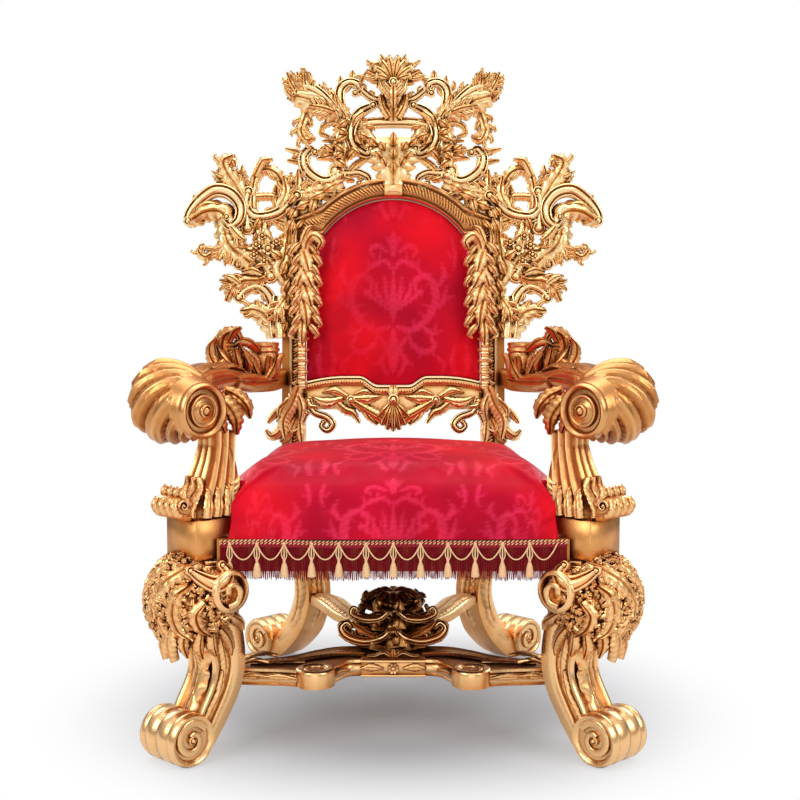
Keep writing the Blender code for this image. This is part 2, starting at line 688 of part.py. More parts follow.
def make_cushion(finishes):
    base = SEAT_TRIM_HEIGHT + FIT_GAP
    rear = SEAT_REAR_Y
    rings = []
    levels = ((0.0, 1.0), (0.25, 1.012), (0.52, 1.006), (0.72, 0.970), (0.86, 0.900), (0.96, 0.72), (1.0, 0.42))
    middle_y = SEAT_FRONT_Y + SEAT_DEPTH * 0.52
    block_half = LEG_BLOCK_SIDE / 2
    for height, size in levels:
        ring = []
        for i in range(6):
            x = -1 + 2 * i / 6
            ring.append((x * seat_half_width(SEAT_FRONT_Y), SEAT_FRONT_Y))
        for i in range(4):
            y = SEAT_FRONT_Y + SEAT_DEPTH * i / 4
            ring.append((seat_half_width(y), y))
        for i in range(6):
            ring.append(((1 - 2 * i / 6) * seat_half_width(rear), rear))
        for i in range(4):
            y = rear - SEAT_DEPTH * i / 4
            ring.append((-seat_half_width(y), y))
        rings.append([
            Vector((x * size, middle_y + (y - middle_y) * size, base + SEAT_CROWN * height))
            for x, y in ring
        ])
    room = 0.004
    notches = []
    for matrix in (LEG, LEFT_RIGHT @ LEG):
        notches.append(box((-POST_REACH - room, 0.3, -block_half - room), (0.2, 0.9, block_half + room), matrix))
    return node("seat_cushion", finishes["damask"], [rings_solid(rings)], notches)


def make_rails(finishes):
    gilding = finishes["gilding"]
    top = SEAT_TRIM_HEIGHT
    low = top - RAIL_HEIGHT
    inset = RAIL_INSET
    front = SEAT_FRONT_Y + inset
    rear = SEAT_REAR_Y
    block_reach = LEG_BLOCK_X - LEG_BLOCK_SIDE * SQUARE_HALF
    half = block_reach + 0.03
    pieces = [box((-half, front, low), (half, front + RAIL_THICKNESS, top))]
    node("seat_rail_front", gilding, pieces, block_cutters(FIT_GAP, 0.3, 0.9))
    half = REAR_LEG_TOP_X - REAR_LEG_SIDE / 2 - FIT_GAP
    node("seat_rail_rear", gilding, [box((-half, rear - 0.004, low), (half, rear - 0.004 + RAIL_THICKNESS, top))])

    def make_side():
        start = LEG_BLOCK_Y
        end = REAR_LEG_TOP_Y - REAR_LEG_SIDE / 2 - FIT_GAP
        outline = [
            (-seat_half_width(start) + inset, start),
            (-seat_half_width(end) + inset, end),
            (-seat_half_width(end) + inset + RAIL_THICKNESS, end),
            (-seat_half_width(start) + inset + RAIL_THICKNESS, start),
        ]
        return [prism(outline, low, top)], block_cutters(FIT_GAP, 0.3, 0.9), []

    pair("seat_rail", gilding, make_side)


def skirt(distance, rear):
    """The seat's outline from the left rear round the front, set out by a distance."""
    return [
        (-seat_half_width(rear) - distance, rear),
        (-seat_half_width(SEAT_FRONT_Y) - distance, SEAT_FRONT_Y - distance),
        (seat_half_width(SEAT_FRONT_Y) + distance, SEAT_FRONT_Y - distance),
        (seat_half_width(rear) + distance, rear),
    ]


def seat_space():
    """What rails and fringe take up below the seat, less the front blocks."""
    low = SEAT_TRIM_HEIGHT - 0.001 - FRINGE_DROP - FIT_GAP
    outline = skirt(FRINGE_THICKNESS - RAIL_INSET + 2 * FIT_GAP, 0.0)
    return combine("DIFFERENCE", prism(outline, low, 0.5), block_cutters(FIT_GAP / 2, 0.3, 0.9))


def make_fringe(finishes):
    high = SEAT_TRIM_HEIGHT - 0.001
    low = high - FRINGE_DROP
    start = LEG_BLOCK_Y
    rear = SEAT_REAR_Y - 0.01
    inner = RAIL_INSET - FIT_GAP
    outline = skirt(FRINGE_THICKNESS - inner, rear) + skirt(-inner, rear)[::-1]
    whole = (outline, low, high)
    gap = FIT_GAP * 3
    front_cut = [box((-0.6, start, 0.2), (0.6, 0.6, 0.6))] + block_cutters(gap, 0.2, 0.9)
    node("seat_fringe_front", finishes["bullion"], [prism(*whole)], front_cut)

    def make_side():
        cutters = [
            box((-0.6, -0.6, 0.2), (0.6, start, 0.6)),
            box((0, -0.6, 0.2), (0.6, 0.6, 0.6)),
        ]
        return [prism(*whole)], cutters + block_cutters(gap, 0.2, 0.9), []

    pair("seat_fringe", finishes["bullion"], make_side)


# Front legs: local x goes outwards along the leg's diagonal, local y up, local z to its outer side
def roll(radius, width, centre_x, matrix, sides=14):
    """A roll with a groove near each end and a stepped volute face."""
    half = width / 2
    profile = [
        (radius * 0.36, -half - 0.003), (radius * 0.70, -half + 0.003),
        (radius, -half + 0.010), (radius * 0.93, -half * 0.5),
        (radius, -half * 0.25), (radius, half * 0.25),
        (radius * 0.93, half * 0.5), (radius, half - 0.010),
        (radius * 0.8, half),
    ]
    bottom = -math.pi / 2 + math.pi / sides
    flat = math.cos(math.pi / sides)
    placed = matrix @ Matrix.Translation((centre_x, radius * flat, 0))
    return turned(profile, sides, placed, bottom)


def front_shank(extra=0.0):
    """The leg's own curve from its roll up into the block."""
    knots = [
        (FOOT_REACH - 0.006, 0.018), (0.034, 0.038), (0.006, 0.084), (-0.026, 0.138),
        (-0.036, 0.186), (-0.024, 0.245), (0.000, 0.300), (0.002, 0.400),
    ]
    widths = [half + extra for half in (0.013, 0.026, 0.034, 0.036, 0.038, 0.044, 0.050, 0.045)]
    return moved(member(knots, widths, LEG_WIDTH / 2 - 0.001 + extra, SQUARE_SECTION, 2), LEG)


def make_front_leg():
    block = LEG_BLOCK_SIDE / 2
    knee = LEG @ Matrix.Translation((0.026, KNEE_HEIGHT, 0.006))
    crisp = [
        front_shank(),
        roll(FOOT_RADIUS, FOOT_WIDTH, FOOT_REACH, LEG),
        box((-block, LEG_BLOCK_BOTTOM, -block), (block, LEG_BLOCK_TOP, block), LEG),
    ]
    pieces = [
        foliage_ball(KNEE_RADIUS, (0.86, 1.04, 0.93), knee),
        # Inner volute and the cup scroll on the near face
        turned([(0.018, -0.030), (0.034, -0.026), (0.040, 0.0), (0.034, 0.026), (0.018, 0.030)], 12,
               LEG @ Matrix.Translation((-0.052, 0.333, -0.012))),
        moved(member([(0.062, 0.376, -0.062), (0.046, 0.350, -0.078), (0.030, 0.332, -0.080), (0.010, 0.345, -0.070)],
                     [0.010, 0.014, 0.016, 0.012], 0.012, SCROLL_SECTION, 2), LEG),
        # Leaf curled off the underside of the knee
        moved(member([(0.050, 0.240, -0.02), (0.068, 0.222, -0.02), (0.078, 0.206, -0.02)],
                     [0.022, 0.016, 0.006], 0.012, LEAF_SECTION, 2), LEG),
        # Border and leaf on the near side of the shank
        moved(member([(-0.030, 0.240, -0.046), (-0.032, 0.150, -0.047), (-0.006, 0.085, -0.047), (0.030, 0.062, -0.048)],
                     [0.010, 0.014, 0.015, 0.008], 0.009, LEAF_SECTION, 2), LEG),
    ]
    return pieces, [seat_space()], crisp


def foliage_ball(radius, stretch, matrix, rows=8, columns=12):
    """A lumpy round mass of leaves, its knobs set by two waves."""
    rings = []
    for i in range(1, rows):
        slope = math.pi * i / rows
        ring = []
        for j in range(columns):
            turn = 2 * math.pi * (j + 0.5 * (i % 2)) / columns
            knob = 1.0 + 0.05 * math.cos(3 * turn + i * 2.1) * math.sin(slope)
            knob -= 0.04 * ((i + j) % 2)
            ring.append(Vector((
                radius * stretch[0] * knob * math.sin(slope) * math.cos(turn),
                radius * stretch[1] * math.cos(slope),
                radius * stretch[2] * knob * math.sin(slope) * math.sin(turn),
            )))
        rings.append(ring)
    return moved(rings_solid(rings), matrix)


def make_post():
    """A fluted square post that leans in from the block and up into the arm's roll."""
    foot = LEG_BLOCK_TOP + FIT_GAP
    sections = [
        (0.006, foot, 0.040), (0.004, 0.492, 0.046), (-0.012, 0.512, 0.044), (-0.022, 0.535, 0.036),
        (-0.034, 0.570, 0.029), (-0.042, 0.610, 0.026), (-0.042, POST_TOP, 0.027),
    ]
    rings = []
    for reach, height, half in sections:
        ring = []
        for side_x, side_z in ((-1, -1), (1, -1), (1, 1), (-1, 1)):
            across = (-side_z, side_x)
            # Corner, then the two sides of a flute in the face that follows
            ring.append(Vector((reach + side_x * half, height, side_z * half)))
            for along, cut in ((0.30, 0.0), (0.5, 0.16), (0.70, 0.0)):
                end_x = side_x + 2 * across[0] * along * (1 if side_x * across[0] < 0 else -1) if across[0] * side_x < 0 else side_x
                end_z = side_z + 2 * across[1] * along if across[1] * side_z < 0 else side_z
                inward_x = -cut * (1 if end_x > 0 else -1) if abs(end_x) == 1 else 0.0
                inward_z = -cut * (1 if end_z > 0 else -1) if abs(end_z) == 1 and inward_x == 0.0 else 0.0
                ring.append(Vector((reach + (end_x + inward_x) * half, height, (end_z + inward_z) * half)))
        rings.append(ring)
    toe = moved(member([(0.02, 0.500, 0), (0.052, 0.494, 0), (0.073, 0.500, 0), (0.078, 0.512, 0), (0.068, 0.519, 0)],
                       [0.020, 0.017, 0.013, 0.010, 0.006], 0.040, SCROLL_SECTION, 1), LEG)
    heel = moved(member([(-0.01, 0.505, 0), (-0.045, 0.520, 0), (-0.052, 0.550, 0), (-0.046, 0.60, 0)],
                        [0.018, 0.014, 0.010, 0.006], 0.034, SCROLL_SECTION, 1), LEG)
    pieces = [moved(rings_solid(rings), LEG), toe, heel]
    top = [box((-0.3, POST_TOP - 0.001, -0.3), (0.3, 1.0, 0.3), LEG)]
    return pieces, top, []


# Arms
def arm_axis():
    """The roll's own frame: local z runs from its inner face to its outer end."""
    matrix = plane((-ARM_FACE_X, ARM_FACE_Y, ARM_ROLL_HEIGHT), (-1, -1, 0.0), (0, 0, 1))
    return matrix


def arm_roll(sides=20):
    """The roll with leaves wrapped round it, swelling towards its outer end."""
    matrix = arm_axis()
    rings = []
    stations = [
        (0.010, 0.30, 0.010), (0.010, 0.55, 0.0), (0.0, 1.0, 0.004), (0.02, 1.08, 0.0), (0.045, 1.18, 0.0),
        (0.07, 1.34, 0.0), (0.10, 1.50, 0.0), (0.124, 1.56, 0.0), (0.142, 1.42, 0.0), (ARM_ROLL_WIDTH, 1.05, 0.0),
    ]
    for along, size, inward in stations:
        ring = []
        for j in range(sides):
            turn = 2 * math.pi * j / sides
            flute = 1.0
            if along > 0.03:
                flute += 0.035 * (1 if j % 2 else -1)
            radius = ARM_FACE_RADIUS * size * flute
            lift = 0.012 * min(1.0, along / 0.12)
            ring.append(Vector((radius * math.cos(turn), radius * math.sin(turn) + lift, along)))
        rings.append(ring)
    return moved(rings_solid(rings), matrix)


def make_arm():
    back_front = BACK_PLANE_Y + 0.2 * math.tan(BACK_LEAN)
    bar = [
        (-0.400, -0.340, 0.700), (-0.402, -0.230, 0.722), (-0.376, -0.100, 0.722),
        (-0.338, 0.040, 0.703), (-0.296, 0.150, 0.696), (-0.266, back_front + 0.03, 0.700),
    ]
    cup = plane((-0.290, 0.120, 0.0), (1, 0, 0), (0, 1, 0))
    pieces = [
        arm_roll(),
        member(bar, [0.030, 0.036, 0.036, 0.033, 0.030, 0.028], [0.026, 0.025, 0.024, 0.024, 0.024, 0.022],
               SCROLL_SECTION, 2, front=(0, 0, 1)),
        # Cup under the wing's console, and its band
        turned([(0.014, 0.690), (0.026, 0.705), (0.034, 0.730), (0.036, 0.766), (0.032, 0.770), (0.034, 0.788)],
               14, cup),
        # Leaf scroll that stands on the arm's rear
        member([(-0.325, 0.060, 0.710), (-0.358, 0.055, 0.740), (-0.376, 0.050, 0.775), (-0.368, 0.040, 0.810),
                (-0.344, 0.030, 0.816), (-0.334, 0.030, 0.796)],
               [0.026, 0.030, 0.034, 0.026, 0.018, 0.012], [0.022, 0.026, 0.026, 0.022, 0.018, 0.014],
               LEAF_SECTION, 2, front=(0, -1, 0)),
        # Leaf on the arm's outer shoulder
        member([(-0.405, -0.20, 0.74), (-0.395, -0.10, 0.752), (-0.37, 0.0, 0.738)],
               [0.026, 0.030, 0.012], [0.014, 0.016, 0.010], LEAF_SECTION, 2, front=(0, 0, 1)),
    ]
    cutters = [
        # Stile behind, frame at the inner side, wing above and post below
        box((-0.6, -0.2, -0.3), (0.0, 0.4, FRAME_BACK + FIT_GAP), BACK),
        box((-FRAME_HALF_WIDTH - FIT_GAP, -0.2, -0.3), (0.0, 0.4, 0.3), BACK),
        box((-0.6, WING_FOOT - 0.012 - FIT_GAP, -0.3), (0.0, 0.9, 0.06), BACK),
        box((-0.08, 0.4, -0.05), (0.01, POST_TOP + FIT_GAP - 0.001, 0.05), LEG),
    ]
    return pieces, cutters, []


# Rear legs
def rear_shank(extra=0.0):
    """The rear leg's own curve from its roll up into the square top."""
    low = SEAT_TRIM_HEIGHT - RAIL_HEIGHT
    foot_x, foot_y = -REAR_FOOT_X, REAR_FOOT_Y
    top_x, top_y = -REAR_LEG_TOP_X, REAR_LEG_TOP_Y
    knots = [
        (foot_x + 0.004, foot_y - 0.004, 0.014), (foot_x + 0.039, foot_y - 0.039, 0.032),
        (foot_x + 0.083, foot_y - 0.088, 0.094), (top_x + 0.040, top_y + 0.071, 0.170),
        (top_x + 0.036, top_y + 0.057, 0.240), (top_x + 0.014, top_y + 0.031, 0.320), (top_x, top_y, low + 0.01),
    ]
    widths = [half + extra for half in (0.036, 0.038, 0.040, 0.034, 0.033, 0.036, 0.032)]
    depths = [half + extra for half in (0.012, 0.026, 0.032, 0.033, 0.033, 0.034, 0.030)]
    return member(knots, widths, depths, SQUARE_SECTION, 2, front=(-0.7, 0.7, 0.3))


def make_rear_leg():
    reach = plane((-REAR_FOOT_X, REAR_FOOT_Y, 0), (-1, 1, 0), (0, 0, 1))
    x, y = REAR_LEG_TOP_X, REAR_LEG_TOP_Y
    half = REAR_LEG_SIDE / 2
    low = SEAT_TRIM_HEIGHT - RAIL_HEIGHT - 0.01
    pieces = [
        rear_shank(),
        roll(REAR_FOOT_RADIUS, REAR_FOOT_WIDTH, 0.0, reach),
        box((-x - half, y - half, low), (-x + half, y + half, REAR_LEG_TOP)),
        member([(0.024 - x, y + 0.025, 0.290), (0.044 - x, y + 0.017, 0.255), (0.048 - x, y + 0.035, 0.222)],
               [0.020, 0.024, 0.010], 0.012, LEAF_SECTION, 2, front=(0.3, -0.9, 0)),
    ]
    return pieces, [], []


# Stretchers
def make_front_stretcher(finishes):
    low = STRETCHER_HEIGHT
    high = low + STRETCHER_THICKNESS
    half = STRETCHER_HALF_WIDTH
    bend = 0.216
    front = [(half, STRETCHER_END_Y), (bend, STRETCHER_END_Y - 0.018), (LOOP_X + 0.02, LOOP_Y + 0.02)]
    front += [(LOOP_X - 0.02, LOOP_Y + 0.03), (LOOP_X * 0.72, LOOP_Y + 0.058), (0.085, STRETCHER_PLATE_Y + 0.010)]
    rear_y = STRETCHER_PLATE_Y + STRETCHER_DEPTH
    rear = [(0.110, rear_y), (bend, rear_y - 0.082), (half, STRETCHER_END_Y + 0.052)]
    outline = front + [(-x, y) for x, y in front[::-1]] + [(-x, y) for x, y in rear[::-1]] + rear
    pieces = [prism(outline, low, high)]
    for side in (-1, 1):
        matrix = Matrix.Translation((side * LOOP_X, LOOP_Y + LOOP_RADIUS, 0))
        pieces.append(turned([(LOOP_RADIUS, low - 0.004), (LOOP_RADIUS, high + 0.004)], 14, matrix))
    plate_y = STRETCHER_PLATE_Y
    pieces.append(box((-0.070, plate_y, low - 0.002), (0.070, plate_y + 0.036, high + 0.003)))
    cresting = [(-0.05, plate_y + 0.02, high), (0, plate_y + 0.02, high + 0.018), (0.05, plate_y + 0.02, high)]
    pieces.append(member(cresting, [0.010, 0.014, 0.010], [0.008, 0.012, 0.008], LEAF_SECTION, 2, (0, -1, 0)))
    holes = []
    for side in (-1, 1):
        matrix = Matrix.Translation((side * LOOP_X, LOOP_Y + LOOP_RADIUS, 0))
        holes.append(turned([(LOOP_RADIUS * 0.58, 0.0), (LOOP_RADIUS * 0.58, 0.4)], 10, matrix, 0.1))
    legs = [front_shank(FIT_GAP), moved(front_shank(FIT_GAP), LEFT_RIGHT)]
    return node("stretcher_front", finishes["gilding"], pieces, holes + legs)


def boss_core(extra=0.0):
    """The leafy boss's turned core."""
    low = STRETCHER_HEIGHT + STRETCHER_THICKNESS - 0.004
    profile = [(0.088, 0.0), (0.082, 0.026), (0.064, 0.048), (0.050, 0.074), (0.060, 0.099), (0.030, 0.114)]
    profile = [(radius + extra, height) for radius, height in profile]
    return turned(profile, 14, Matrix.Translation((0, BOSS_Y, low)))


def make_boss(finishes):
    low = STRETCHER_HEIGHT + STRETCHER_THICKNESS + FIT_GAP
    pieces = []
    for side in (-1, 1):
        for reach, height, drop in ((0.115, 0.018, 0.030), (0.090, 0.062, 0.026)):
            knots = [
                (side * 0.01, BOSS_Y - 0.052, low + height), (side * reach * 0.5, BOSS_Y - 0.072, low + height + 0.012),
                (side * reach, BOSS_Y - 0.040, low + height), (side * reach * 0.8, BOSS_Y - 0.005, low + height + 0.004),
            ]
            pieces.append(member(knots, [0.014, 0.020, 0.018, 0.012], drop / 2, SCROLL_SECTION, 1))
    floor = [box((-0.5, -0.5, 0.0), (0.5, 0.5, low))]
    return node("stretcher_boss", finishes["gilding"], pieces, floor, CARVED_FACES, [boss_core()])


def make_cross_arm():
    low = STRETCHER_HEIGHT + STRETCHER_THICKNESS + 0.004
    knots = [
        (-0.055, BOSS_Y + 0.035, low + 0.018), (-0.105, 0.050, low + 0.024), (-0.140, 0.130, low + 0.030),
        (-0.165, REAR_LEG_TOP_Y + 0.010, low + 0.020), (0.054 - REAR_LEG_TOP_X, REAR_LEG_TOP_Y + 0.057, low + 0.014),
    ]
    pieces = [
        member(knots, [0.024, 0.034, 0.036, 0.030, 0.022], [0.013, 0.016, 0.017, 0.016, 0.014], LEAF_SECTION, 3),
    ]
    return pieces, [boss_core(FIT_GAP), rear_shank(FIT_GAP)], []


def main():
    clear_scene()
    finishes = new_finishes()
    gilding = finishes["gilding"]
    pair("front_leg", gilding, make_front_leg, KNEE_FACES)
    pair("rear_leg", gilding, make_rear_leg)
    pair("arm_post", gilding, make_post)
    pair("arm", gilding, make_arm, ARM_FACES)
    pair("stile", gilding, make_stile)
    pair("wing", gilding, make_wing, WING_FACES)
    make_rails(finishes)
    make_cushion(finishes)
    make_fringe(finishes)
    make_frame(finishes)
    make_pad(finishes)
    make_back_rail(finishes)
    make_crest(finishes)
    make_front_stretcher(finishes)
    make_boss(finishes)
    pair("stretcher", gilding, make_cross_arm)


main()
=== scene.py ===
# Carved and gilded throne in red damask: its looks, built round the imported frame
import math

import bmesh
import bpy
import numpy as np
from mathutils import Matrix, Vector


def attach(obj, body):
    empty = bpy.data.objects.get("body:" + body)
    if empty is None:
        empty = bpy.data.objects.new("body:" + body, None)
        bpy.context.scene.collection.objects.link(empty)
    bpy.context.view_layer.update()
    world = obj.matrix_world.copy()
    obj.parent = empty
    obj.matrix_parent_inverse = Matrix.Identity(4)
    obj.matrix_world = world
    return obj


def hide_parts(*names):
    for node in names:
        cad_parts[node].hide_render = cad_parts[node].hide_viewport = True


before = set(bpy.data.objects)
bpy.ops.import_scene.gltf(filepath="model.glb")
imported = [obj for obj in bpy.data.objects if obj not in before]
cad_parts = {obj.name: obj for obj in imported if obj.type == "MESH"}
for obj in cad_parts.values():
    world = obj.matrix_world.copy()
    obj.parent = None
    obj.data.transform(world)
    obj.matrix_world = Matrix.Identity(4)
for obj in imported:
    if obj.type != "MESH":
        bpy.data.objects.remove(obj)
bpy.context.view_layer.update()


# Small helpers
def linear(hexColour):
    "sRGB hex to linear"
    values = [int(hexColour[i:i + 2], 16) / 255 for i in (1, 3, 5)]
    return tuple(v / 12.92 if v <= 0.04045 else ((v + 0.055) / 1.055) ** 2.4 for v in values) + (1.0,)


def addNode(tree, kind, settings=None, inputs=None):
    node = tree.nodes.new(kind)
    for key, value in (settings or {}).items():
        setattr(node, key, value)
    for key, value in (inputs or {}).items():
        socket = node.inputs[key]
        if isinstance(value, bpy.types.NodeSocket):
            tree.links.new(value, socket)
        else:
            socket.default_value = value
    return node


def planeMatrix(origin, xAxis, yAxis):
    x, y = Vector(xAxis).normalized(), Vector(yAxis).normalized()
    z = x.cross(y)
    matrix = np.eye(4)
    matrix[:3, 0], matrix[:3, 1], matrix[:3, 2], matrix[:3, 3] = x, y, z, origin
    return matrix


def shifted(matrix, offset, scale=1.0):
    extra = np.eye(4) * scale
    extra[3, 3] = 1.0
    extra[:3, 3] = offset
    return matrix @ extra


lean = math.radians(8.0)
backPlane = planeMatrix((0, 0.191, 0.5), (1, 0, 0), (0, math.sin(lean), math.cos(lean)))
legPlane = planeMatrix((-0.375, -0.344, 0), (-1, -1, 0), (0, 0, 1))
rearPlane = planeMatrix((-0.301, 0.398, 0), (-1, 1, 0), (0, 0, 1))
armPlane = planeMatrix((-0.355, -0.400, 0.684), (-1, -1, 0), (0, 0, 1))
worldPlane = np.eye(4)
crestUnit = 0.287 / 123
wingUnit = 0.423 / 181
crestPlace = shifted(backPlane, (0, 0.663, 0), crestUnit)
wingPlace = shifted(backPlane, (-0.238, 0.301, 0), wingUnit)


# Carving kit: every shape is a closed skin of rings, kept with how high its relief stands
class Carving:
    def __init__(self):
        self.points, self.faces, self.relief, self.count = [], [], [], 0

    def addGrid(self, grid, relief, matrix=worldPlane, caps=True):
        rows, cols = grid.shape[:2]
        flat = grid.reshape(-1, 3) @ matrix[:3, :3].T + matrix[:3, 3]
        index = np.arange(rows * cols).reshape(rows, cols) + self.count
        around = np.roll(index, -1, axis=1)
        quads = np.stack([index[:-1], around[:-1], around[1:], index[1:]], axis=-1).reshape(-1, 4)
        self.faces += quads.tolist()
        self.points.append(flat)
        self.relief.append(np.asarray(relief, float).reshape(-1))
        self.count += rows * cols
        if caps:
            for ring in (index[0], index[-1]):
                middle = flat[ring - index[0, 0]].mean(axis=0)
                self.points.append(middle[None])
                self.relief.append(np.array([0.7]))
                self.faces += [[int(ring[i]), int(ring[(i + 1) % cols]), self.count] for i in range(cols)]
                self.count += 1

    def build(self, name, mirrored=False):
        points = np.vstack(self.points)
        if mirrored:
            points = points * (-1, 1, 1)
        mesh = bpy.data.meshes.new(name)
        mesh.from_pydata(points.tolist(), [], self.faces)
        shape = bmesh.new()
        shape.from_mesh(mesh)
        bmesh.ops.recalc_face_normals(shape, faces=shape.faces)
        shape.to_mesh(mesh)
        shape.free()
        attribute = mesh.attributes.new("relief", "FLOAT", "POINT")
        attribute.data.foreach_set("value", np.clip(np.concatenate(self.relief), 0, 1).astype(np.float32))
        mesh.shade_smooth()
        mesh.set_sharp_from_angle(angle=math.radians(62))
        piece = bpy.data.objects.new(name, mesh)
        bpy.context.scene.collection.objects.link(piece)
        return piece


def routeOf(knots, perSpan):
    k = np.array([(*p, 0.0) if len(p) == 2 else p for p in knots], float)
    p = np.vstack([2 * k[0] - k[1], k, 2 * k[-1] - k[-2]])
    t = (np.arange(perSpan) / perSpan)[:, None]
    spans = []
    for i in range(len(k) - 1):
        a, b, c, d = p[i:i + 4]
        spans.append(0.5 * (2 * b + (c - a) * t + (2 * a - 5 * b + 4 * c - d) * t ** 2
                            + (3 * b - a - 3 * c + d) * t ** 3))
    return np.vstack(spans + [k[-1:]])


def spread(values, count):
    values = np.atleast_1d(np.array(values, float))
    return np.interp(np.linspace(0, 1, count), np.linspace(0, 1, len(values)), values) if len(values) > 1 else \
        np.full(count, values[0])


def unitRows(rows):
    return rows / np.maximum(np.linalg.norm(rows, axis=-1, keepdims=True), 1e-9)


def ease(x, low, high):
    x = np.clip((x - low) / (high - low), 0, 1)
    return x * x * (3 - 2 * x)


def swept(route, widths, depths, across, height, front=(0, 0, 1)):
    ahead = np.gradient(route, axis=0)
    side = unitRows(np.cross(np.array(front, float), ahead))
    out = unitRows(np.cross(ahead, side))
    return (route[:, None] + side[:, None] * (across * widths[:, None])[..., None]
            + out[:, None] * (height * depths[:, None])[..., None])


leafTop = np.array([-1, -0.8, -0.5, -0.2, 0, 0.2, 0.5, 0.8, 1])
grain = 1.78  # how coarse the rings along leaves and scrolls are


def leafSkin(count, lobes, cut=0.36, vein=0.26, phase=0.0):
    "Acanthus: lobed edge, veins that sweep forward, a split middle rib"
    t = np.linspace(0, 1, count)[:, None]
    s = leafTop[None, :]
    a = np.abs(s)
    wave = np.abs(np.sin(np.pi * (lobes * t - 0.75 * a + phase))) ** 0.55
    fade = ease(t, 0.0, 0.12)
    across = s * (1 - cut * fade * a ** 2.5 * (1 - wave))
    rib = np.exp(-(s / 0.11) ** 2)
    height = -0.25 + 1.2 * (1 - a ** 2.2) - 0.34 * rib + vein * fade * (wave - 0.6) * ease(a, 0.12, 0.75)
    relief = 0.30 + 0.62 * wave * ease(a, 0.05, 0.3) * (1 - 0.35 * a) - 0.25 * rib
    low = np.array([0.6, -0.6])[None, :] * np.ones((count, 1))
    lowHeight = low * 0 - 0.9
    return (np.hstack([across, low]), np.hstack([height, lowHeight]), np.hstack([relief, low * 0 + 0.2]))


scrollLine = np.array([
    (-1, -0.7, 0.2), (-0.97, 0.2, 0.4), (-0.86, 0.62, 0.9), (-0.70, 0.66, 0.9), (-0.56, 0.30, 0.12), (-0.40, 0.52, 0.6),
    (-0.15, 0.92, 0.95), (0.15, 0.92, 0.95), (0.40, 0.52, 0.6), (0.56, 0.30, 0.12), (0.70, 0.66, 0.9), (0.86, 0.62, 0.9),
    (0.97, 0.2, 0.4), (1, -0.7, 0.2), (0.5, -1, 0.2), (-0.5, -1, 0.2)])
plainLine = np.array([
    (-1, -0.9, 0.4), (-1, 0.4, 0.7), (-0.93, 0.75, 0.85), (-0.75, 0.95, 0.9), (0, 1, 0.9), (0.75, 0.95, 0.9),
    (0.93, 0.75, 0.85), (1, 0.4, 0.7), (1, -0.9, 0.4), (0, -1, 0.4)])


def lineSkin(line, count):
    one = np.ones((count, 1))
    return line[:, 0][None] * one, line[:, 1][None] * one, line[:, 2][None] * one


def lengthOf(route):
    return np.linalg.norm(np.diff(route, axis=0), axis=1).sum()


def leaf(carving, knots, widths, depth=4.5, lift=0.0, place=worldPlane, unit=1.0, pitch=0.0105, step=0.0019,
         front=(0, 0, 1), cut=0.36, vein=0.26):
    rough = routeOf(knots, 6)
    size = lengthOf(rough) * unit
    perSpan = max(2, int(size / step / grain / (len(knots) - 1)))
    route = routeOf(knots, perSpan) + np.array(front, float) * lift
    count = len(route)
    across, height, relief = leafSkin(count, max(1.5, size / pitch), cut, vein, 0.15)
    depths = spread(depth, count)
    carving.addGrid(swept(route, spread(widths, count), depths, across, height, front), relief, place)


def insideAny(point, holes):
    return any(((abs(point[0]) - u) / ru) ** 2 + ((point[1] - v) / rv) ** 2 < 1 for u, v, ru, rv in holes)


def shoots(carving, knots, widths, lift, place, unit, pitch, holes, spots=(0.20, 0.42, 0.62, 0.78), reach=1.2):
    # Small leaves that curl off both sides of a bigger one
    route = routeOf(knots, 12)
    ahead = unitRows(np.gradient(route, axis=0))
    size = spread(widths, len(route))
    for number, share in enumerate(spots):
        at = int(share * (len(route) - 1))
        for side in (-1, 1):
            back = max(0, at - (4 if side > 0 else 0))
            w = min(size[back], 6.4)
            if w < 3.0:
                continue
            t = ahead[back]
            n = np.array((-t[1], t[0], 0.0)) * side
            base = route[back] + n * w * 0.25 + np.array((0, 0, lift + 1.0))
            mid = route[back] + n * w * 0.85 * reach + t * w * 0.55 + np.array((0, 0, lift + 3.0))
            tip = route[back] + n * w * 1.20 * reach + t * w * 1.25 + np.array((0, 0, lift + 2.4))
            bent = tip + t * w * 0.30 - n * w * 0.25 + np.array((0, 0, 1.0))
            if insideAny(mid, holes) or insideAny(tip, holes) or insideAny(bent, holes):
                continue
            leaf(carving, [tuple(base), tuple(mid), tuple(tip), tuple(bent)], [w * 0.26, w * 0.50, w * 0.36, w * 0.12], w * 0.32,
                 0, place, unit, pitch * 0.62, 0.0024, cut=0.34)


def scroll(carving, knots, widths, depth=5.5, lift=0.0, place=worldPlane, unit=1.0, step=0.0030, front=(0, 0, 1),
           line=scrollLine, eye=True):
    rough = routeOf(knots, 6)
    perSpan = max(2, int(lengthOf(rough) * unit / step / grain / (len(knots) - 1)))
    route = routeOf(knots, perSpan) + np.array(front, float) * lift
    count = len(route)
    across, height, relief = lineSkin(line, count)
    widths, depths = spread(widths, count), spread(depth, count)
    carving.addGrid(swept(route, widths, depths, across, height, front), relief, place)
    if eye:
        for end in (0, -1):
            axis = np.array(front, float)
            dome(carving, route[end], widths[end] * 1.25, depths[end] * 1.15, axis, place)


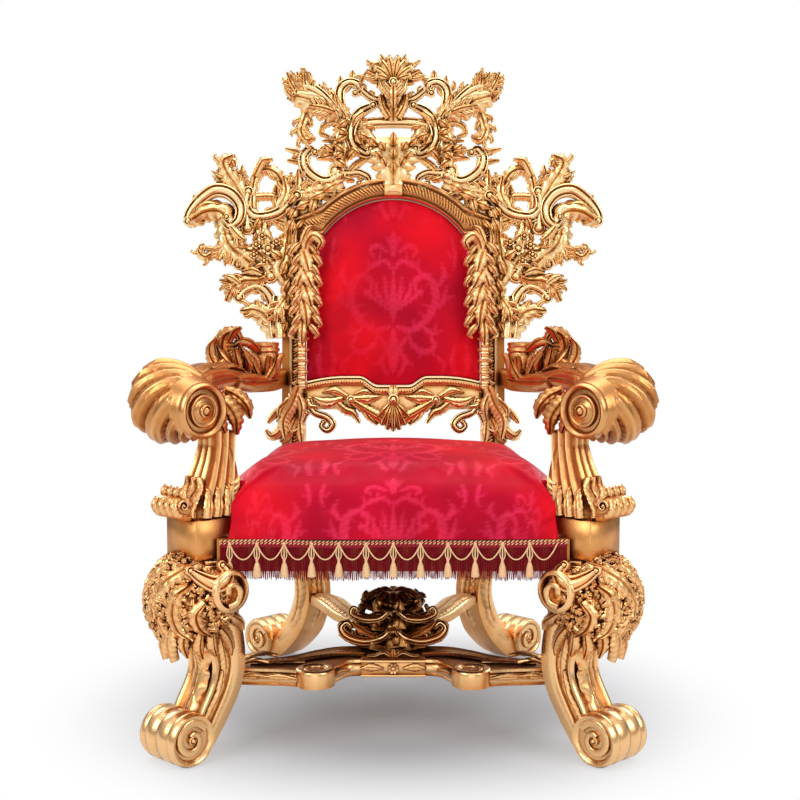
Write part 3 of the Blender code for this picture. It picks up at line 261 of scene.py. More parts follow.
def dome(carving, centre, radius, height, axis=(0, 0, 1), place=worldPlane, sides=11):
    "Round button with a groove, for the eyes of volutes"
    axis = np.array(axis, float) / np.linalg.norm(axis)
    helper = np.array((1.0, 0, 0)) if abs(axis[0]) < 0.8 else np.array((0, 1.0, 0))
    x = np.cross(axis, helper)
    x /= np.linalg.norm(x)
    y = np.cross(axis, x)
    profile = ((0.7, -0.6, 0.3), (1, -0.3, 0.5), (1, 0.3, 0.9), (0.88, 0.62, 0.9), (0.72, 0.66, 0.6), (0.6, 0.42, 0.1),
               (0.5, 0.6, 0.6), (0.3, 0.95, 1.0), (0.05, 1.05, 1.0))
    turn = np.linspace(0, 2 * np.pi, sides, endpoint=False)
    ring = np.cos(turn)[:, None] * x + np.sin(turn)[:, None] * y
    grid = np.stack([np.array(centre) + ring * r * radius + axis * h * height for r, h, _ in profile])
    relief = np.stack([np.full(sides, p[2]) for p in profile])
    carving.addGrid(grid, relief, place)


def turned(carving, profile, matrix, sides=40, flutes=0, fluteDepth=0.0, twist=0.0):
    "Turned about local z from (radius, z) rows; flutes go round it"
    turn = np.linspace(0, 2 * np.pi, sides, endpoint=False)[None, :]
    radius = np.array([p[0] for p in profile])[:, None]
    level = np.array([p[1] for p in profile])[:, None]
    wave = np.abs(np.cos(0.5 * flutes * turn + twist * level)) ** 0.6 if flutes else np.ones_like(turn)
    r = radius * (1 - fluteDepth * (1 - wave))
    grid = np.stack([r * np.cos(turn), r * np.sin(turn), level + 0 * turn], axis=-1)
    carving.addGrid(grid, 0.35 + 0.55 * wave + 0 * level, matrix)


def denseProfile(rows, count):
    rows = np.array(rows, float)
    at = np.concatenate([[0], np.cumsum(np.linalg.norm(np.diff(rows, axis=0), axis=1))])
    where = np.linspace(0, at[-1], count)
    return np.stack([np.interp(where, at, rows[:, i]) for i in range(rows.shape[1])], axis=1)


def blossom(carving, centre, radius, height, matrix, petals=6):
    turn = np.linspace(0, 2 * np.pi, petals * 6, endpoint=False)[None, :]
    share = np.array([1.0, 1.0, 0.85, 0.62, 0.42, 0.34, 0.24, 0.1])[:, None]
    rise = np.array([-0.4, 0.25, 0.7, 0.62, 0.3, 0.75, 1.0, 1.1])[:, None]
    petal = np.abs(np.sin(0.5 * petals * turn)) ** 0.55
    edge = np.where(share > 0.4, 0.62 + 0.38 * petal, 1.0)
    r = radius * share * edge
    z = height * (rise + 0.22 * (petal - 0.5) * (share > 0.4))
    grid = np.stack([centre[0] + r * np.cos(turn), centre[1] + r * np.sin(turn), centre[2] + z], axis=-1)
    carving.addGrid(grid, 0.25 + 0.6 * petal + 0 * share, matrix)


def block(carving, low, high, matrix, bevel=0.0015, divide=1):
    "Box with softened edges"
    x0, y0, z0 = low
    x1, y1, z1 = high
    rows = []
    for inset, y in ((bevel, y0), (0, y0 + bevel), (0, y1 - bevel), (bevel, y1)):
        b = bevel + inset
        rows.append([(x0 + inset, y, z0 + b), (x0 + inset, y, z1 - b), (x0 + b, y, z1 - inset), (x1 - b, y, z1 - inset),
                     (x1 - inset, y, z1 - b), (x1 - inset, y, z0 + b), (x1 - b, y, z0 + inset), (x0 + b, y, z0 + inset)])
    grid = np.array(rows, float)
    carving.addGrid(grid, np.full(grid.shape[:2], 0.30), matrix)


# Finishes
def newMaterial(name, colour):
    material = bpy.data.materials.new(name)
    material.use_nodes = True
    tree = material.node_tree
    shader = tree.nodes["Principled BSDF"]
    shader.inputs["Base Color"].default_value = linear(colour)
    return material, tree, shader


def goldLeaf(name, colours, roughness, paintedShadeLift):
    """Burnished gold leaf on carved wood: bright on the ridges with painted highlight, warm and dull in the cuts with
    painted shade, and darkened in the hollows as painted shade
    """
    material, tree, shader = newMaterial(name, colours["ridge"])
    place = addNode(tree, "ShaderNodeTexCoord").outputs["Object"]
    relief = addNode(tree, "ShaderNodeAttribute", {"attribute_name": "relief"}).outputs["Fac"]
    patch = addNode(tree, "ShaderNodeTexNoise", None, {"Vector": place, "Scale": 26.0, "Detail": 3.0})
    fine = addNode(tree, "ShaderNodeTexNoise", None, {"Vector": place, "Scale": 260.0, "Detail": 2.0})
    uneven = addNode(tree, "ShaderNodeMath", {"operation": "MULTIPLY_ADD"},
                     {0: patch.outputs["Fac"], 1: 0.5, 2: -0.25}).outputs[0]
    height = addNode(tree, "ShaderNodeMath", {"operation": "ADD"}, {0: relief, 1: uneven}).outputs[0]
    # The ramp paints highlight and shade from the relief: ridge colour on raised parts, cut colour in the grooves
    ramp = addNode(tree, "ShaderNodeValToRGB", None, {"Fac": height})
    ramp.color_ramp.elements[0].position = 0.06
    ramp.color_ramp.elements[0].color = linear(colours["cut"])
    ramp.color_ramp.elements[1].position = 0.78
    ramp.color_ramp.elements[1].color = linear(colours["ridge"])
    middle = ramp.color_ramp.elements.new(0.38)
    middle.color = linear(colours["field"])
    # Painted shade: ambient occlusion mixes hollows and gaps between parts towards the deep colour; the lift value
    # keeps some of the lit colour there
    hidden = addNode(tree, "ShaderNodeAmbientOcclusion", {"samples": 4}, {"Distance": 0.016})
    shade = addNode(tree, "ShaderNodeMapRange", None,
                    {"Value": hidden.outputs["AO"], "From Min": 0.15, "From Max": 0.75, "To Min": paintedShadeLift, "To Max": 1.0})
    mix = addNode(tree, "ShaderNodeMix", {"data_type": "RGBA"},
                  {"Factor": shade.outputs["Result"], 6: linear(colours["deep"]), 7: ramp.outputs["Color"]})
    tree.links.new(mix.outputs[2], shader.inputs["Base Color"])
    shader.inputs["Metallic"].default_value = 1.0
    rough = addNode(tree, "ShaderNodeMapRange", None,
                    {"Value": height, "From Min": 0.0, "From Max": 1.0, "To Min": roughness + 0.16, "To Max": roughness})
    tree.links.new(rough.outputs["Result"], shader.inputs["Roughness"])
    bump = addNode(tree, "ShaderNodeBump", None, {"Height": fine.outputs["Fac"], "Strength": 0.22, "Distance": 0.0012})
    tree.links.new(bump.outputs["Normal"], shader.inputs["Normal"])
    return material


goldPale = goldLeaf("paleGoldLeaf", {"ridge": "#FCDAA4", "field": "#E6B576", "cut": "#BE864E", "deep": "#86562E"}, 0.25, 0.0)
goldDeep = goldLeaf("deepGoldLeaf", {"ridge": "#DCA066", "field": "#BE7A3F", "cut": "#985627", "deep": "#643615"}, 0.26, 0.0)
gold = goldLeaf("burnishedGoldLeaf", {"ridge": "#F6C48A", "field": "#DFA060", "cut": "#B5713A", "deep": "#7C4520"}, 0.25, 0.0)
# A lighter copy of the gold with painted light, brightening the back frame's band where it reflects little light; also
# used on the stretcher arms
goldBrightened = goldLeaf("brightenedGoldLeaf", {"ridge": "#FFDCA8", "field": "#EEBA7C", "cut": "#C88F54", "deep": "#8E5C30"}, 0.36, 0.0)
goldDark = goldLeaf("shadedGoldLeaf", {"ridge": "#D29A5C", "field": "#8E5A2E", "cut": "#4E2A12", "deep": "#2C160A"}, 0.24, 0.0)
goldBack = goldLeaf("plainGoldPaint", {"ridge": "#DBA364", "field": "#CE9350", "cut": "#BE8142", "deep": "#7A4A20"}, 0.36, 0.25)


# Crest
crestHoles = [(0, 46, 19, 6.5), (69, 12, 11, 8), (40, -5, 5.5, 5.5), (27, 13, 6.5, 6), (35, 76, 12, 13), (71, 45, 6, 8),
              (59, 51, 6, 4), (18, 64, 9, 4)]
crestLook = {"leafPitch": 0.0205, "leafCut": 0.31, "scrollStep": 0.0030, "leafFuller": 1.22, "scrollFuller": 1.22}


def makeCrest():
    carving = Carving()

    def crestLeaf(knots, widths, depth=4.5, lift=0.0, side=-1, pitch=None):
        points = [(side * k[0], k[1], k[2] if len(k) > 2 else 0) for k in knots]
        wider = [w * (crestLook["leafFuller"] if w < 20 else 1.0) for w in widths]
        leaf(carving, points, wider, depth, lift, crestPlace, crestUnit, crestLook["leafPitch"] if max(widths) > 5 else 0.010,
             cut=crestLook["leafCut"])
        if 4.9 <= max(widths) < 12.5 and knots[0] != (0, 58):
            shoots(carving, points, wider, lift, crestPlace, crestUnit, 0.012, crestHoles)

    def crestScroll(knots, widths, depth=5.5, lift=0.0, side=-1, eye=True):
        points = [(side * k[0], k[1], k[2] if len(k) > 2 else 0) for k in knots]
        widths = np.atleast_1d(widths) * crestLook["scrollFuller"]
        scroll(carving, points, widths, depth, lift, crestPlace, crestUnit, crestLook["scrollStep"], eye=eye)
        if eye:
            shoots(carving, points, widths * 1.15, lift - 1.5, crestPlace, crestUnit, 0.012, crestHoles, (0.30, 0.62))

    # Palmette, its bar and the shield of leaves below
    crestLeaf([(0, 58), (0, 75, 3), (0, 90, 5), (0, 104, 5), (0, 113, 4), (0, 119, 5)],
              [6, 9, 12.4, 12.4, 9, 7], [5, 7, 9, 8, 6, 6], 0, 1, 0.012)
    for turn, reach in ((-68, 17), (-50, 22), (-30, 24), (-10, 24), (10, 24), (30, 24), (50, 22), (68, 17)):
        s, c = math.sin(math.radians(turn)), math.cos(math.radians(turn))
        leaf(carving, [(2 * s, 96 + 2 * c, 8), (reach * 0.55 * s, 96 + reach * 0.62 * c, 12), (reach * s, 96 + reach * c, 10),
                       (reach * 1.06 * s, 95 + reach * 0.98 * c, 13)], [2, 4.6, 3.8, 1.6], 4, 0, crestPlace, crestUnit, 0.010)
    dome(carving, (0, 95, 13), 5, 5, (0, 0, 1), crestPlace)
    crestLeaf([(0, 70, 9), (0, 84, 13), (0, 97, 12)], [3, 6, 2], [4, 5, 3], 0, 1)
    crestScroll([(-36, 55), (-20, 57.5), (0, 58), (20, 57.5), (36, 55)], 4.6, 4, 0, 1, False)
    crestLeaf([(0, 41), (0, 30, 3), (0, 18, 4), (0, 6, 3), (0, -14, 2)], [36, 34, 27, 16, 9], [5, 8, 9, 7, 5], 0, 1, 0.013)
    for i, (u, v, turn, size) in enumerate([(0, 34, 0, 9), (-9, 28, -30, 7), (9, 28, 30, 7), (-17, 34, -50, 7),
                                            (17, 34, 50, 7), (0, 20, 0, 8), (-8, 13, -25, 6), (8, 13, 25, 6),
                                            (-26, 40, -70, 6), (26, 40, 70, 6), (0, 6, 0, 7), (-13, 20, -40, 6),
                                            (13, 20, 40, 6)]):
        c, s = math.cos(math.radians(turn)), math.sin(math.radians(turn))
        crestLeaf([(u, v, 9), (u + s * size * 0.6, v + c * size * 0.6, 13), (u + s * size * 1.2, v + c * size * 1.2, 11)],
                  [2, 4.2, 1.2], [3, 4, 2], 0, 1, 0.007)
    for side in (-1, 1):
        crestLeaf([(4, 96), (16, 104, 3), (27, 108, 5)], [6, 5.5, 1.5], 5, 3, side)
        crestLeaf([(6, 106), (17, 113, 2), (27, 119, 4)], [3.5, 3.5, 1.5], 3.5, 2, side)
        crestLeaf([(3, 112, 5), (9, 118, 6), (13, 124, 7)], [2.5, 3, 1], 3, 2, side)
        crestLeaf([(3, 80, 9), (10, 90, 11), (14, 100, 10)], [3, 4, 1.2], 3, 1, side)
        crestLeaf([(4, 62, 4), (10, 72, 6), (13, 84, 7)], [4, 4.6, 1.5], 4, 1, side)
        crestScroll([(8, 78), (21, 82), (30, 89), (35, 94)], [4, 3.2, 3, 3], 4, 0, side)
        crestScroll([(45, 58), (53, 76), (53, 91), (45, 98), (36, 96), (34, 90), (38, 87)], [5, 4.5, 4.5, 4, 4, 3.4, 2.6],
                    5.5, 0, side)
        crestLeaf([(52, 95), (53, 100), (53, 105)], [2, 3, 1], 3, 0, side)
        crestLeaf([(42, 98), (41, 105), (41, 110)], [2, 4, 1.5], 3.5, 0, side)
        crestLeaf([(34, 96), (30, 104), (26, 110)], [3, 2.5, 1], 3, 0, side)
        crestLeaf([(47, 62, 4), (55, 74, 5), (58, 84, 6)], [4, 4.5, 1.2], 3.5, 0, side)
        crestScroll([(20, 74), (32, 68), (40, 57), (43, 44), (38, 32), (26, 25), (22, 30)], [3, 4.5, 5, 5, 5, 4, 3], 6.5, 2, side)
        crestLeaf([(30, 66, 6), (37, 60, 8), (40, 52, 8)], [3, 3.6, 1.2], 3.5, 2, side)
        crestLeaf([(46, 64), (60, 70, 2), (78, 77, 5), (97, 82, 7)], [7, 13, 13, 8], 7, 0, side, 0.012)
        crestLeaf([(93, 82), (101, 94, 6), (106, 105, 9)], [6, 4, 1.5], 4, 4, side)
        crestLeaf([(80, 82), (87, 94, 5), (88, 105, 9)], [6, 4.5, 1.5], 4, 3, side)
        crestLeaf([(66, 76), (72, 88, 3), (74, 95, 4)], [5, 3.5, 1], 3.5, 2, side)
        crestLeaf([(98, 80), (104, 84, 6), (109, 90, 6)], [4, 2.5, 1], 3, 4, side)
        crestLeaf([(56, 66, 5), (70, 70, 9), (84, 72, 10)], [3.4, 5, 2], 4, 0, side)
        crestLeaf([(86, 70), (90, 58), (92, 48, 2), (87, 39, 4), (80, 40, 5)], [6, 5.5, 6, 4, 2.5], 4.5, 0, side)
        crestLeaf([(50, 56), (61, 58), (70, 54), (72, 47), (64, 43)], [4, 4, 3, 3, 2], 3.5, 0, side)
        crestLeaf([(48, 66), (50, 50), (53, 32), (54, 12)], [7, 9, 10, 7], 6.5, 0, side, 0.012)
        for u, v, du, dv in ((46, 58, 8, -7), (55, 50, -9, -6), (48, 42, 9, -5), (58, 34, -9, -7), (50, 26, 8, -6),
                             (56, 18, -8, -6), (44, 20, -6, 7)):
            crestLeaf([(u, v, 6), (u + du * 0.55, v + dv * 0.55, 10), (u + du, v + dv, 8)], [2, 3.8, 1.2], [3, 4, 2], 0, side,
                      0.007)
        crestLeaf([(50, 38), (60, 39, 2), (71, 38, 4)], [4, 3, 1], 3, 0, side)
        crestLeaf([(52, 25), (64, 23, 2), (76, 20, 4)], [6, 5, 1], 4, 0, side)
        crestScroll([(78, 27), (84, 30), (90, 22), (87, 10), (77, 1), (66, -2), (54, 4)], [3, 4, 4.5, 5, 5, 5, 5], 5.5, 0, side)
        crestLeaf([(85, 22), (96, 28), (108, 31, 2)], [4, 3.5, 1.5], 3.5, 0, side)
        crestLeaf([(85, 15), (96, 18), (106, 19, 2)], [4, 3, 1.5], 3.5, 0, side)
        crestScroll([(57, 8), (46, 6), (35, 7), (25, 2), (25, -6), (32, -9), (34, -4)], [6, 4, 3.5, 3, 2.8, 2.6, 2.4], 4.5, 0, side)
        crestLeaf([(46, 4), (37, 15), (24, 23)], [3.4, 4, 3], 3.5, 0, side)
        crestLeaf([(95, -16), (80, -13), (64, -9), (50, -3)], [4, 9, 9, 6], 5, 0, side, 0.012)
        crestLeaf([(86, -8), (84, -18), (84, -36)], [7, 11, 11], 4, 0, side, 0.012)
        crestLeaf([(38, 56), (30, 50), (28, 40)], [7, 8, 9], 4, -1, side, 0.012)
        for u, v, du, dv, w in ((68, -14, 13, -6, 5), (84, -24, 12, -6, 5), (96, -30, 6, -10, 5), (78, -20, 4, -14, 5),
                                (96, -16, 8, -10, 4), (58, -6, 10, -7, 5), (90, -42, 6, -9, 4), (98, -44, 2, -10, 4),
                                (40, -2, 9, 2, 4), (36, 2, -6, 8, 4), (60, 28, 8, 5, 4), (36, 44, -4, -9, 5), (42, 30, -8, -6, 5),
                                (38, 14, -8, 4, 4), (30, 26, -5, -8, 4), (66, 4, 8, 6, 4), (52, 62, 6, 8, 4)):
            if insideAny((u + du, v + dv), crestHoles):
                continue
            crestLeaf([(u, v, 4), (u + du * 0.5, v + dv * 0.5, 8), (u + du, v + dv, 7)], [w * 0.5, w * 0.9, w * 0.3], 3.4, 0, side)
    for side in (-1, 1):
        crestScroll([(104, 79, 5), (98, 88, 6), (88, 92, 7), (77, 88, 7), (65, 78, 6), (52, 62, 5)], [2.4, 3.8, 4.6, 4.6, 4.0, 3.0],
                    5, 0, side, False)
        crestLeaf([(88, 84, 6), (92, 98, 8), (96, 106, 8)], [3, 5, 1.5], 4, 0, side)
    piece = carving.build("crestCarving")
    piece.data.materials.append(goldPale)
    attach(piece, "root")
    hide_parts("crest")


# Wings
wingHoles = [(44, 64, 7, 5), (33, 58, 5, 4), (18, 45, 8, 9), (47, 102, 8, 6), (16, 101, 6.5, 6), (21, 131, 4, 3), (25, 150, 7, 8),
             (-17, 135, 8, 6), (66, 136, 9, 5), (62, 100, 5, 5)]
wingLook = {"leafPitch": 0.0205, "leafCut": 0.31, "leafFuller": 1.22, "scrollFuller": 1.22}


def carveWing(carving):
    def wingLeaf(knots, widths, depth=4.5, lift=0.0, pitch=None):
        points = [(-k[0], k[1], k[2] if len(k) > 2 else 0) for k in knots]
        wider = [w * wingLook["leafFuller"] for w in widths]
        leaf(carving, points, wider, depth, lift, wingPlace, wingUnit, wingLook["leafPitch"] if max(widths) > 5 else 0.010,
             cut=wingLook["leafCut"])
        if max(widths) >= 4.9:
            shoots(carving, points, wider, lift, wingPlace, wingUnit, 0.012, wingHoles, (0.24, 0.52, 0.76), 1.1)

    def wingScroll(knots, widths, depth=5.5, lift=0.0, eye=True):
        points = [(-k[0], k[1], k[2] if len(k) > 2 else 0) for k in knots]
        widths = np.atleast_1d(widths) * wingLook["scrollFuller"]
        scroll(carving, points, widths, depth, lift, wingPlace, wingUnit, eye=eye)
        if eye:
            shoots(carving, points, widths * 1.15, lift - 1.5, wingPlace, wingUnit, 0.012, wingHoles, (0.34, 0.66), 1.0)

    wingLeaf([(103, 111, 4), (96, 114, 6), (83, 121, 7), (68, 120, 5), (60, 104)], [5, 7, 9, 11, 8], 8, 0, 0.012)
    dome(carving, (-101, 112, 8), 5.2, 5.5, (0, 0, 1), wingPlace)
    wingLeaf([(98, 118, 8), (84, 128, 9), (70, 128, 8)], [2, 4.5, 2], 4)
    wingLeaf([(90, 124, 4), (96, 138, 6)], [4, 1.5], 3, 2)
    wingScroll([(103, 112, 6), (99, 122, 7), (89, 134, 7), (75, 143, 7), (60, 140, 7), (50, 128, 6), (51, 114, 6), (60, 107, 6),
                (67, 114, 6)], [3.2, 4.4, 5.4, 5.8, 5.6, 5.2, 4.6, 4.0, 3.4], 5.5, 0, False)
    dome(carving, (-63, 116, 9), 3.6, 4.5, (0, 0, 1), wingPlace)
    wingLeaf([(44, 126), (55, 148, 3), (64, 162, 5), (66, 172, 7), (57, 177, 8)], [7, 11, 8, 7, 3], 6, 0, 0.012)
    wingLeaf([(62, 150, 3), (70, 157, 3), (79, 163, 4)], [5, 3, 1], 3)
    wingLeaf([(50, 146), (50, 158, 2), (48, 169, 4)], [5, 3, 1.5], 3)
    wingLeaf([(60, 168, 8), (56, 172, 10), (54, 166, 10)], [3, 4, 1.5], 4)
    wingScroll([(70, 147), (54, 139), (45, 124), (43, 106)], [3.5, 4.5, 4.5, 5], 5.5, 1)
    wingScroll([(42, 142), (45, 128), (38, 118), (26, 117), (11, 122), (-6, 138)], [4, 5, 5, 5, 5, 4], 6, 2)
    wingLeaf([(38, 126), (38, 145), (34, 160), (24, 165), (13, 159), (9, 144), (12, 126)], [5, 5, 5.5, 5.5, 5.5, 5.5, 5], 5.5)
    wingLeaf([(36, 158, 4), (28, 172, 6), (18, 174, 7)], [4, 4.5, 1.5], 4)
    wingLeaf([(14, 124), (5, 140, 3), (7, 158, 4)], [6, 7, 2], 4.5)
    wingLeaf([(38, 137), (24, 138), (12, 137)], [4, 4, 4], 3.5)
    wingLeaf([(0, 130), (-6, 148), (-7, 165)], [5, 7, 2], 4.5)
    wingLeaf([(66, 112), (63, 93), (50, 79), (38, 70)], [9, 11, 11, 9], 7.5, 0, 0.013)
    wingLeaf([(62, 92), (75, 82, 2), (85, 77, 4), (91, 83, 5), (86, 89, 5)], [6, 5, 4, 3.5, 2.5], 4)
    dome(carving, (-88, 86, 6), 4.0, 4.5, (0, 0, 1), wingPlace)
    wingLeaf([(66, 88), (72, 74, 4)], [6, 3], 4)
    wingLeaf([(54, 84), (59, 69, 3)], [6, 3], 4)
    wingLeaf([(60, 108, 7), (52, 98, 9), (44, 92, 9)], [3, 5, 2], 4)
    wingLeaf([(29, 118), (29, 103), (26, 88)], [5, 8, 8], 5)
    for u, v, r in ((22, 85, 7.5), (34, 89, 5), (36, 79, 4.6), (14, 92, 4.6), (26, 73, 4.6), (14, 78, 4.4), (28, 98, 4.4)):
        blossom(carving, (-u, v, 4), r, 5.5, wingPlace)
    wingLeaf([(44, 84), (31, 80), (18, 68)], [6, 8, 9], 6.5)
    wingLeaf([(3, 122), (3, 100), (5, 80), (10, 66), (5, 52), (4, 34)], [6, 5.5, 9, 11, 6, 5], 6)
    wingLeaf([(24, 91), (14, 92), (4, 94)], [5, 4, 4], 5)
    wingLeaf([(26, 116), (14, 114), (4, 111)], [5, 5, 5], 5)
    wingScroll([(52, 70), (41, 77), (29, 72), (20, 58)], [4, 4, 4, 5], 5)
    wingLeaf([(48, 62, 2), (38, 64, 4), (28, 60, 5)], [2, 5, 2], 4)
    wingLeaf([(22, 58), (32, 54), (46, 53), (58, 46), (64, 33)], [5, 5, 7, 7, 3], 5.5, 0, 0.012)
    wingLeaf([(54, 50), (71, 54, 3)], [5, 1.5], 3.5)
    wingLeaf([(50, 50, 4), (58, 56, 6), (66, 58, 7)], [2.5, 3.5, 1.2], 3)
    wingScroll([(51, 37), (45, 44), (33, 48), (23, 41), (16, 26)], [4, 4.5, 4.5, 4.5, 5], 5)
    wingLeaf([(12, 4), (24, 18), (36, 24, 2), (50, 23, 4)], [12, 11, 8, 2], 5.5, 0, 0.012)
    wingLeaf([(6, 34, 6), (12, 24, 9), (14, 12, 9)], [4, 6, 3], 4)
    wingScroll([(10, -3), (11, 14), (10, 38)], [9, 10, 7], 9, 0, False)
    for u, v, du, dv, w in ((6, 44, -6, 10, 5), (8, 60, -5, 11, 5), (10, 76, 9, 6, 5),
                            (3, 80, -6, 9, 5), (2, 104, -5, 10, 5), (4, 118, -6, 8, 4), (34, 106, -4, 9, 4),
                            (36, 74, 8, -6, 5), (44, 88, 9, 3, 5), (54, 100, 8, 4, 5), (36, 96, 5, 9, 5), (18, 98, -4, 9, 4),
                            (30, 66, 9, -3, 4), (12, 30, 7, 8, 4), (4, 20, -5, 9, 4), (14, 14, 8, 6, 4), (6, 4, -4, 9, 4)):
        if insideAny((u + du, v + dv), wingHoles) or insideAny((u + du * 0.5, v + dv * 0.5), wingHoles):
            continue
        wingLeaf([(u, v, 5), (u + du * 0.5, v + dv * 0.5, 9), (u + du, v + dv, 8)], [w * 0.5, w * 0.9, w * 0.3], 3.4)


def makeWings():
    for side in ("left", "right"):
        carving = Carving()
        carveWing(carving)
        piece = carving.build("wingCarving_" + side, side == "right")
        piece.data.materials.append(goldPale)
        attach(piece, "root")
        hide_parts("wing_" + side)



# Repeats: Geometry Nodes set small shapes along a line or over a surface
def newTree(name, inputs):
    tree = bpy.data.node_groups.new(name, "GeometryNodeTree")
    tree.interface.new_socket("Geometry", in_out="INPUT", socket_type="NodeSocketGeometry")
    for label, kind, default in inputs:
        socket = tree.interface.new_socket(label, in_out="INPUT", socket_type=kind)
        if default is not None:
            socket.default_value = default
    tree.interface.new_socket("Geometry", in_out="OUTPUT", socket_type="NodeSocketGeometry")
    return tree, tree.nodes.new("NodeGroupInput"), tree.nodes.new("NodeGroupOutput")


def finishTree(tree, given, target, instances):
    real = addNode(tree, "GeometryNodeRealizeInstances", None, {0: instances})
    painted = addNode(tree, "GeometryNodeSetMaterial", None, {"Geometry": real.outputs[0], "Material": given.outputs["Finish"]})
    tree.links.new(painted.outputs[0], target.inputs[0])


def makeRowTree():
    tree, given, target = newTree("rowAlongLine", [
        ("Shape", "NodeSocketObject", None), ("Spacing", "NodeSocketFloat", 0.01), ("Size", "NodeSocketFloat", 1.0),
        ("Vary", "NodeSocketFloat", 0.05), ("Front", "NodeSocketVector", (0, 0, 1)), ("Seed", "NodeSocketInt", 1),
        ("Finish", "NodeSocketMaterial", None)])
    curve = addNode(tree, "GeometryNodeMeshToCurve", None, {0: given.outputs["Geometry"]})
    even = addNode(tree, "GeometryNodeResampleCurve", {"mode": "LENGTH"},
                   {"Curve": curve.outputs[0], "Length": given.outputs["Spacing"]})
    tangent = addNode(tree, "GeometryNodeInputTangent")
    turn = addNode(tree, "FunctionNodeAxesToRotation", {"primary_axis": "Z", "secondary_axis": "X"},
                   {0: given.outputs["Front"], 1: tangent.outputs[0]})
    low = addNode(tree, "ShaderNodeMath", {"operation": "SUBTRACT"}, {0: given.outputs["Size"], 1: given.outputs["Vary"]})
    high = addNode(tree, "ShaderNodeMath", {"operation": "ADD"}, {0: given.outputs["Size"], 1: given.outputs["Vary"]})
    size = addNode(tree, "FunctionNodeRandomValue", {"data_type": "FLOAT"})
    tree.links.new(low.outputs[0], size.inputs[2])
    tree.links.new(high.outputs[0], size.inputs[3])
    tree.links.new(given.outputs["Seed"], size.inputs["Seed"])
    shape = addNode(tree, "GeometryNodeObjectInfo", None, {"Object": given.outputs["Shape"]})
    placed = addNode(tree, "GeometryNodeInstanceOnPoints", None,
                     {"Points": even.outputs[0], "Instance": shape.outputs["Geometry"], "Rotation": turn.outputs[0],
                      "Scale": size.outputs[1]})
    finishTree(tree, given, target, placed.outputs[0])
    return tree


def makeScatterTree():
    tree, given, target = newTree("scatterOverSurface", [
        ("Shape", "NodeSocketObject", None), ("Gap", "NodeSocketFloat", 0.01), ("Size", "NodeSocketFloat", 1.0),
        ("Vary", "NodeSocketFloat", 0.2), ("Seed", "NodeSocketInt", 1), ("Finish", "NodeSocketMaterial", None)])
    points = addNode(tree, "GeometryNodeDistributePointsOnFaces", {"distribute_method": "POISSON"},
                     {"Mesh": given.outputs["Geometry"], "Distance Min": given.outputs["Gap"], "Density Max": 60000.0,
                      "Seed": given.outputs["Seed"]})
    spin = addNode(tree, "FunctionNodeRandomValue", {"data_type": "FLOAT"}, {2: 0.0, 3: 6.283})
    tree.links.new(given.outputs["Seed"], spin.inputs["Seed"])
    turned1 = addNode(tree, "FunctionNodeRotateRotation", {"rotation_space": "LOCAL"}, {0: points.outputs["Rotation"]})
    euler = addNode(tree, "ShaderNodeCombineXYZ", None, {"Z": spin.outputs[1]})
    tree.links.new(euler.outputs[0], turned1.inputs[1])
    low = addNode(tree, "ShaderNodeMath", {"operation": "SUBTRACT"}, {0: given.outputs["Size"], 1: given.outputs["Vary"]})
    high = addNode(tree, "ShaderNodeMath", {"operation": "ADD"}, {0: given.outputs["Size"], 1: given.outputs["Vary"]})
    size = addNode(tree, "FunctionNodeRandomValue", {"data_type": "FLOAT"})
    tree.links.new(low.outputs[0], size.inputs[2])
    tree.links.new(high.outputs[0], size.inputs[3])
    shape = addNode(tree, "GeometryNodeObjectInfo", None, {"Object": given.outputs["Shape"]})
    placed = addNode(tree, "GeometryNodeInstanceOnPoints", None,
                     {"Points": points.outputs["Points"], "Instance": shape.outputs["Geometry"],
                      "Rotation": turned1.outputs[0], "Scale": size.outputs[1]})
    finishTree(tree, given, target, placed.outputs[0])
    return tree


rowTree = makeRowTree()
scatterTree = makeScatterTree()


def repeatShape(name, base, tree, shape, finish, values):
    base.name = name
    modifier = base.modifiers.new("repeat", "NODES")
    modifier.node_group = tree
    sockets = {item.name: item.identifier for item in tree.interface.items_tree if item.in_out == "INPUT"}
    for label, value in {"Shape": shape, "Finish": finish, **values}.items():
        modifier[sockets[label]] = value
    bpy.context.view_layer.update()
    mesh = bpy.data.meshes.new_from_object(base.evaluated_get(bpy.context.evaluated_depsgraph_get()))
    base.modifiers.clear()
    base.data = mesh
    mesh.shade_smooth()
    return base


def lineObject(points, closed=False):
    mesh = bpy.data.meshes.new("line")
    edges = [(i, i + 1) for i in range(len(points) - 1)]
    if closed:
        edges.append((len(points) - 1, 0))
    mesh.from_pydata([tuple(map(float, p)) for p in points], edges, [])
    base = bpy.data.objects.new("line", mesh)
    bpy.context.scene.collection.objects.link(base)
    return base


def rowOf(name, points, shape, finish, spacing, size=1.0, vary=0.05, front=(0, 0, 1), seed=1, closed=False):
    return repeatShape(name, lineObject(points, closed), rowTree, shape, finish,
                       {"Spacing": spacing, "Size": size, "Vary": vary, "Front": front, "Seed": seed})


def mergeMeshes(name, pieces, finishes):
    shape = bmesh.new()
    for piece in pieces:
        shape.from_mesh(piece.data)
        if piece is not pieces[0]:
            bpy.data.objects.remove(piece, do_unlink=True)
    first = pieces[0]
    first.name = name
    shape.to_mesh(first.data)
    shape.free()
    first.data.materials.clear()
    for finish in finishes:
        first.data.materials.append(finish)
    for face in first.data.polygons:
        face.material_index = 0
    first.data.shade_smooth()
    return first


def handOver(piece, node):
    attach(piece, "root")
    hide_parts(node)


def pointsOn(matrix, points):
    points = np.array(points, float)
    return points @ matrix[:3, :3].T + matrix[:3, 3]


backNormal = tuple(float(v) for v in backPlane[:3, 2])
mirrorX = np.diag([-1.0, 1.0, 1.0, 1.0])


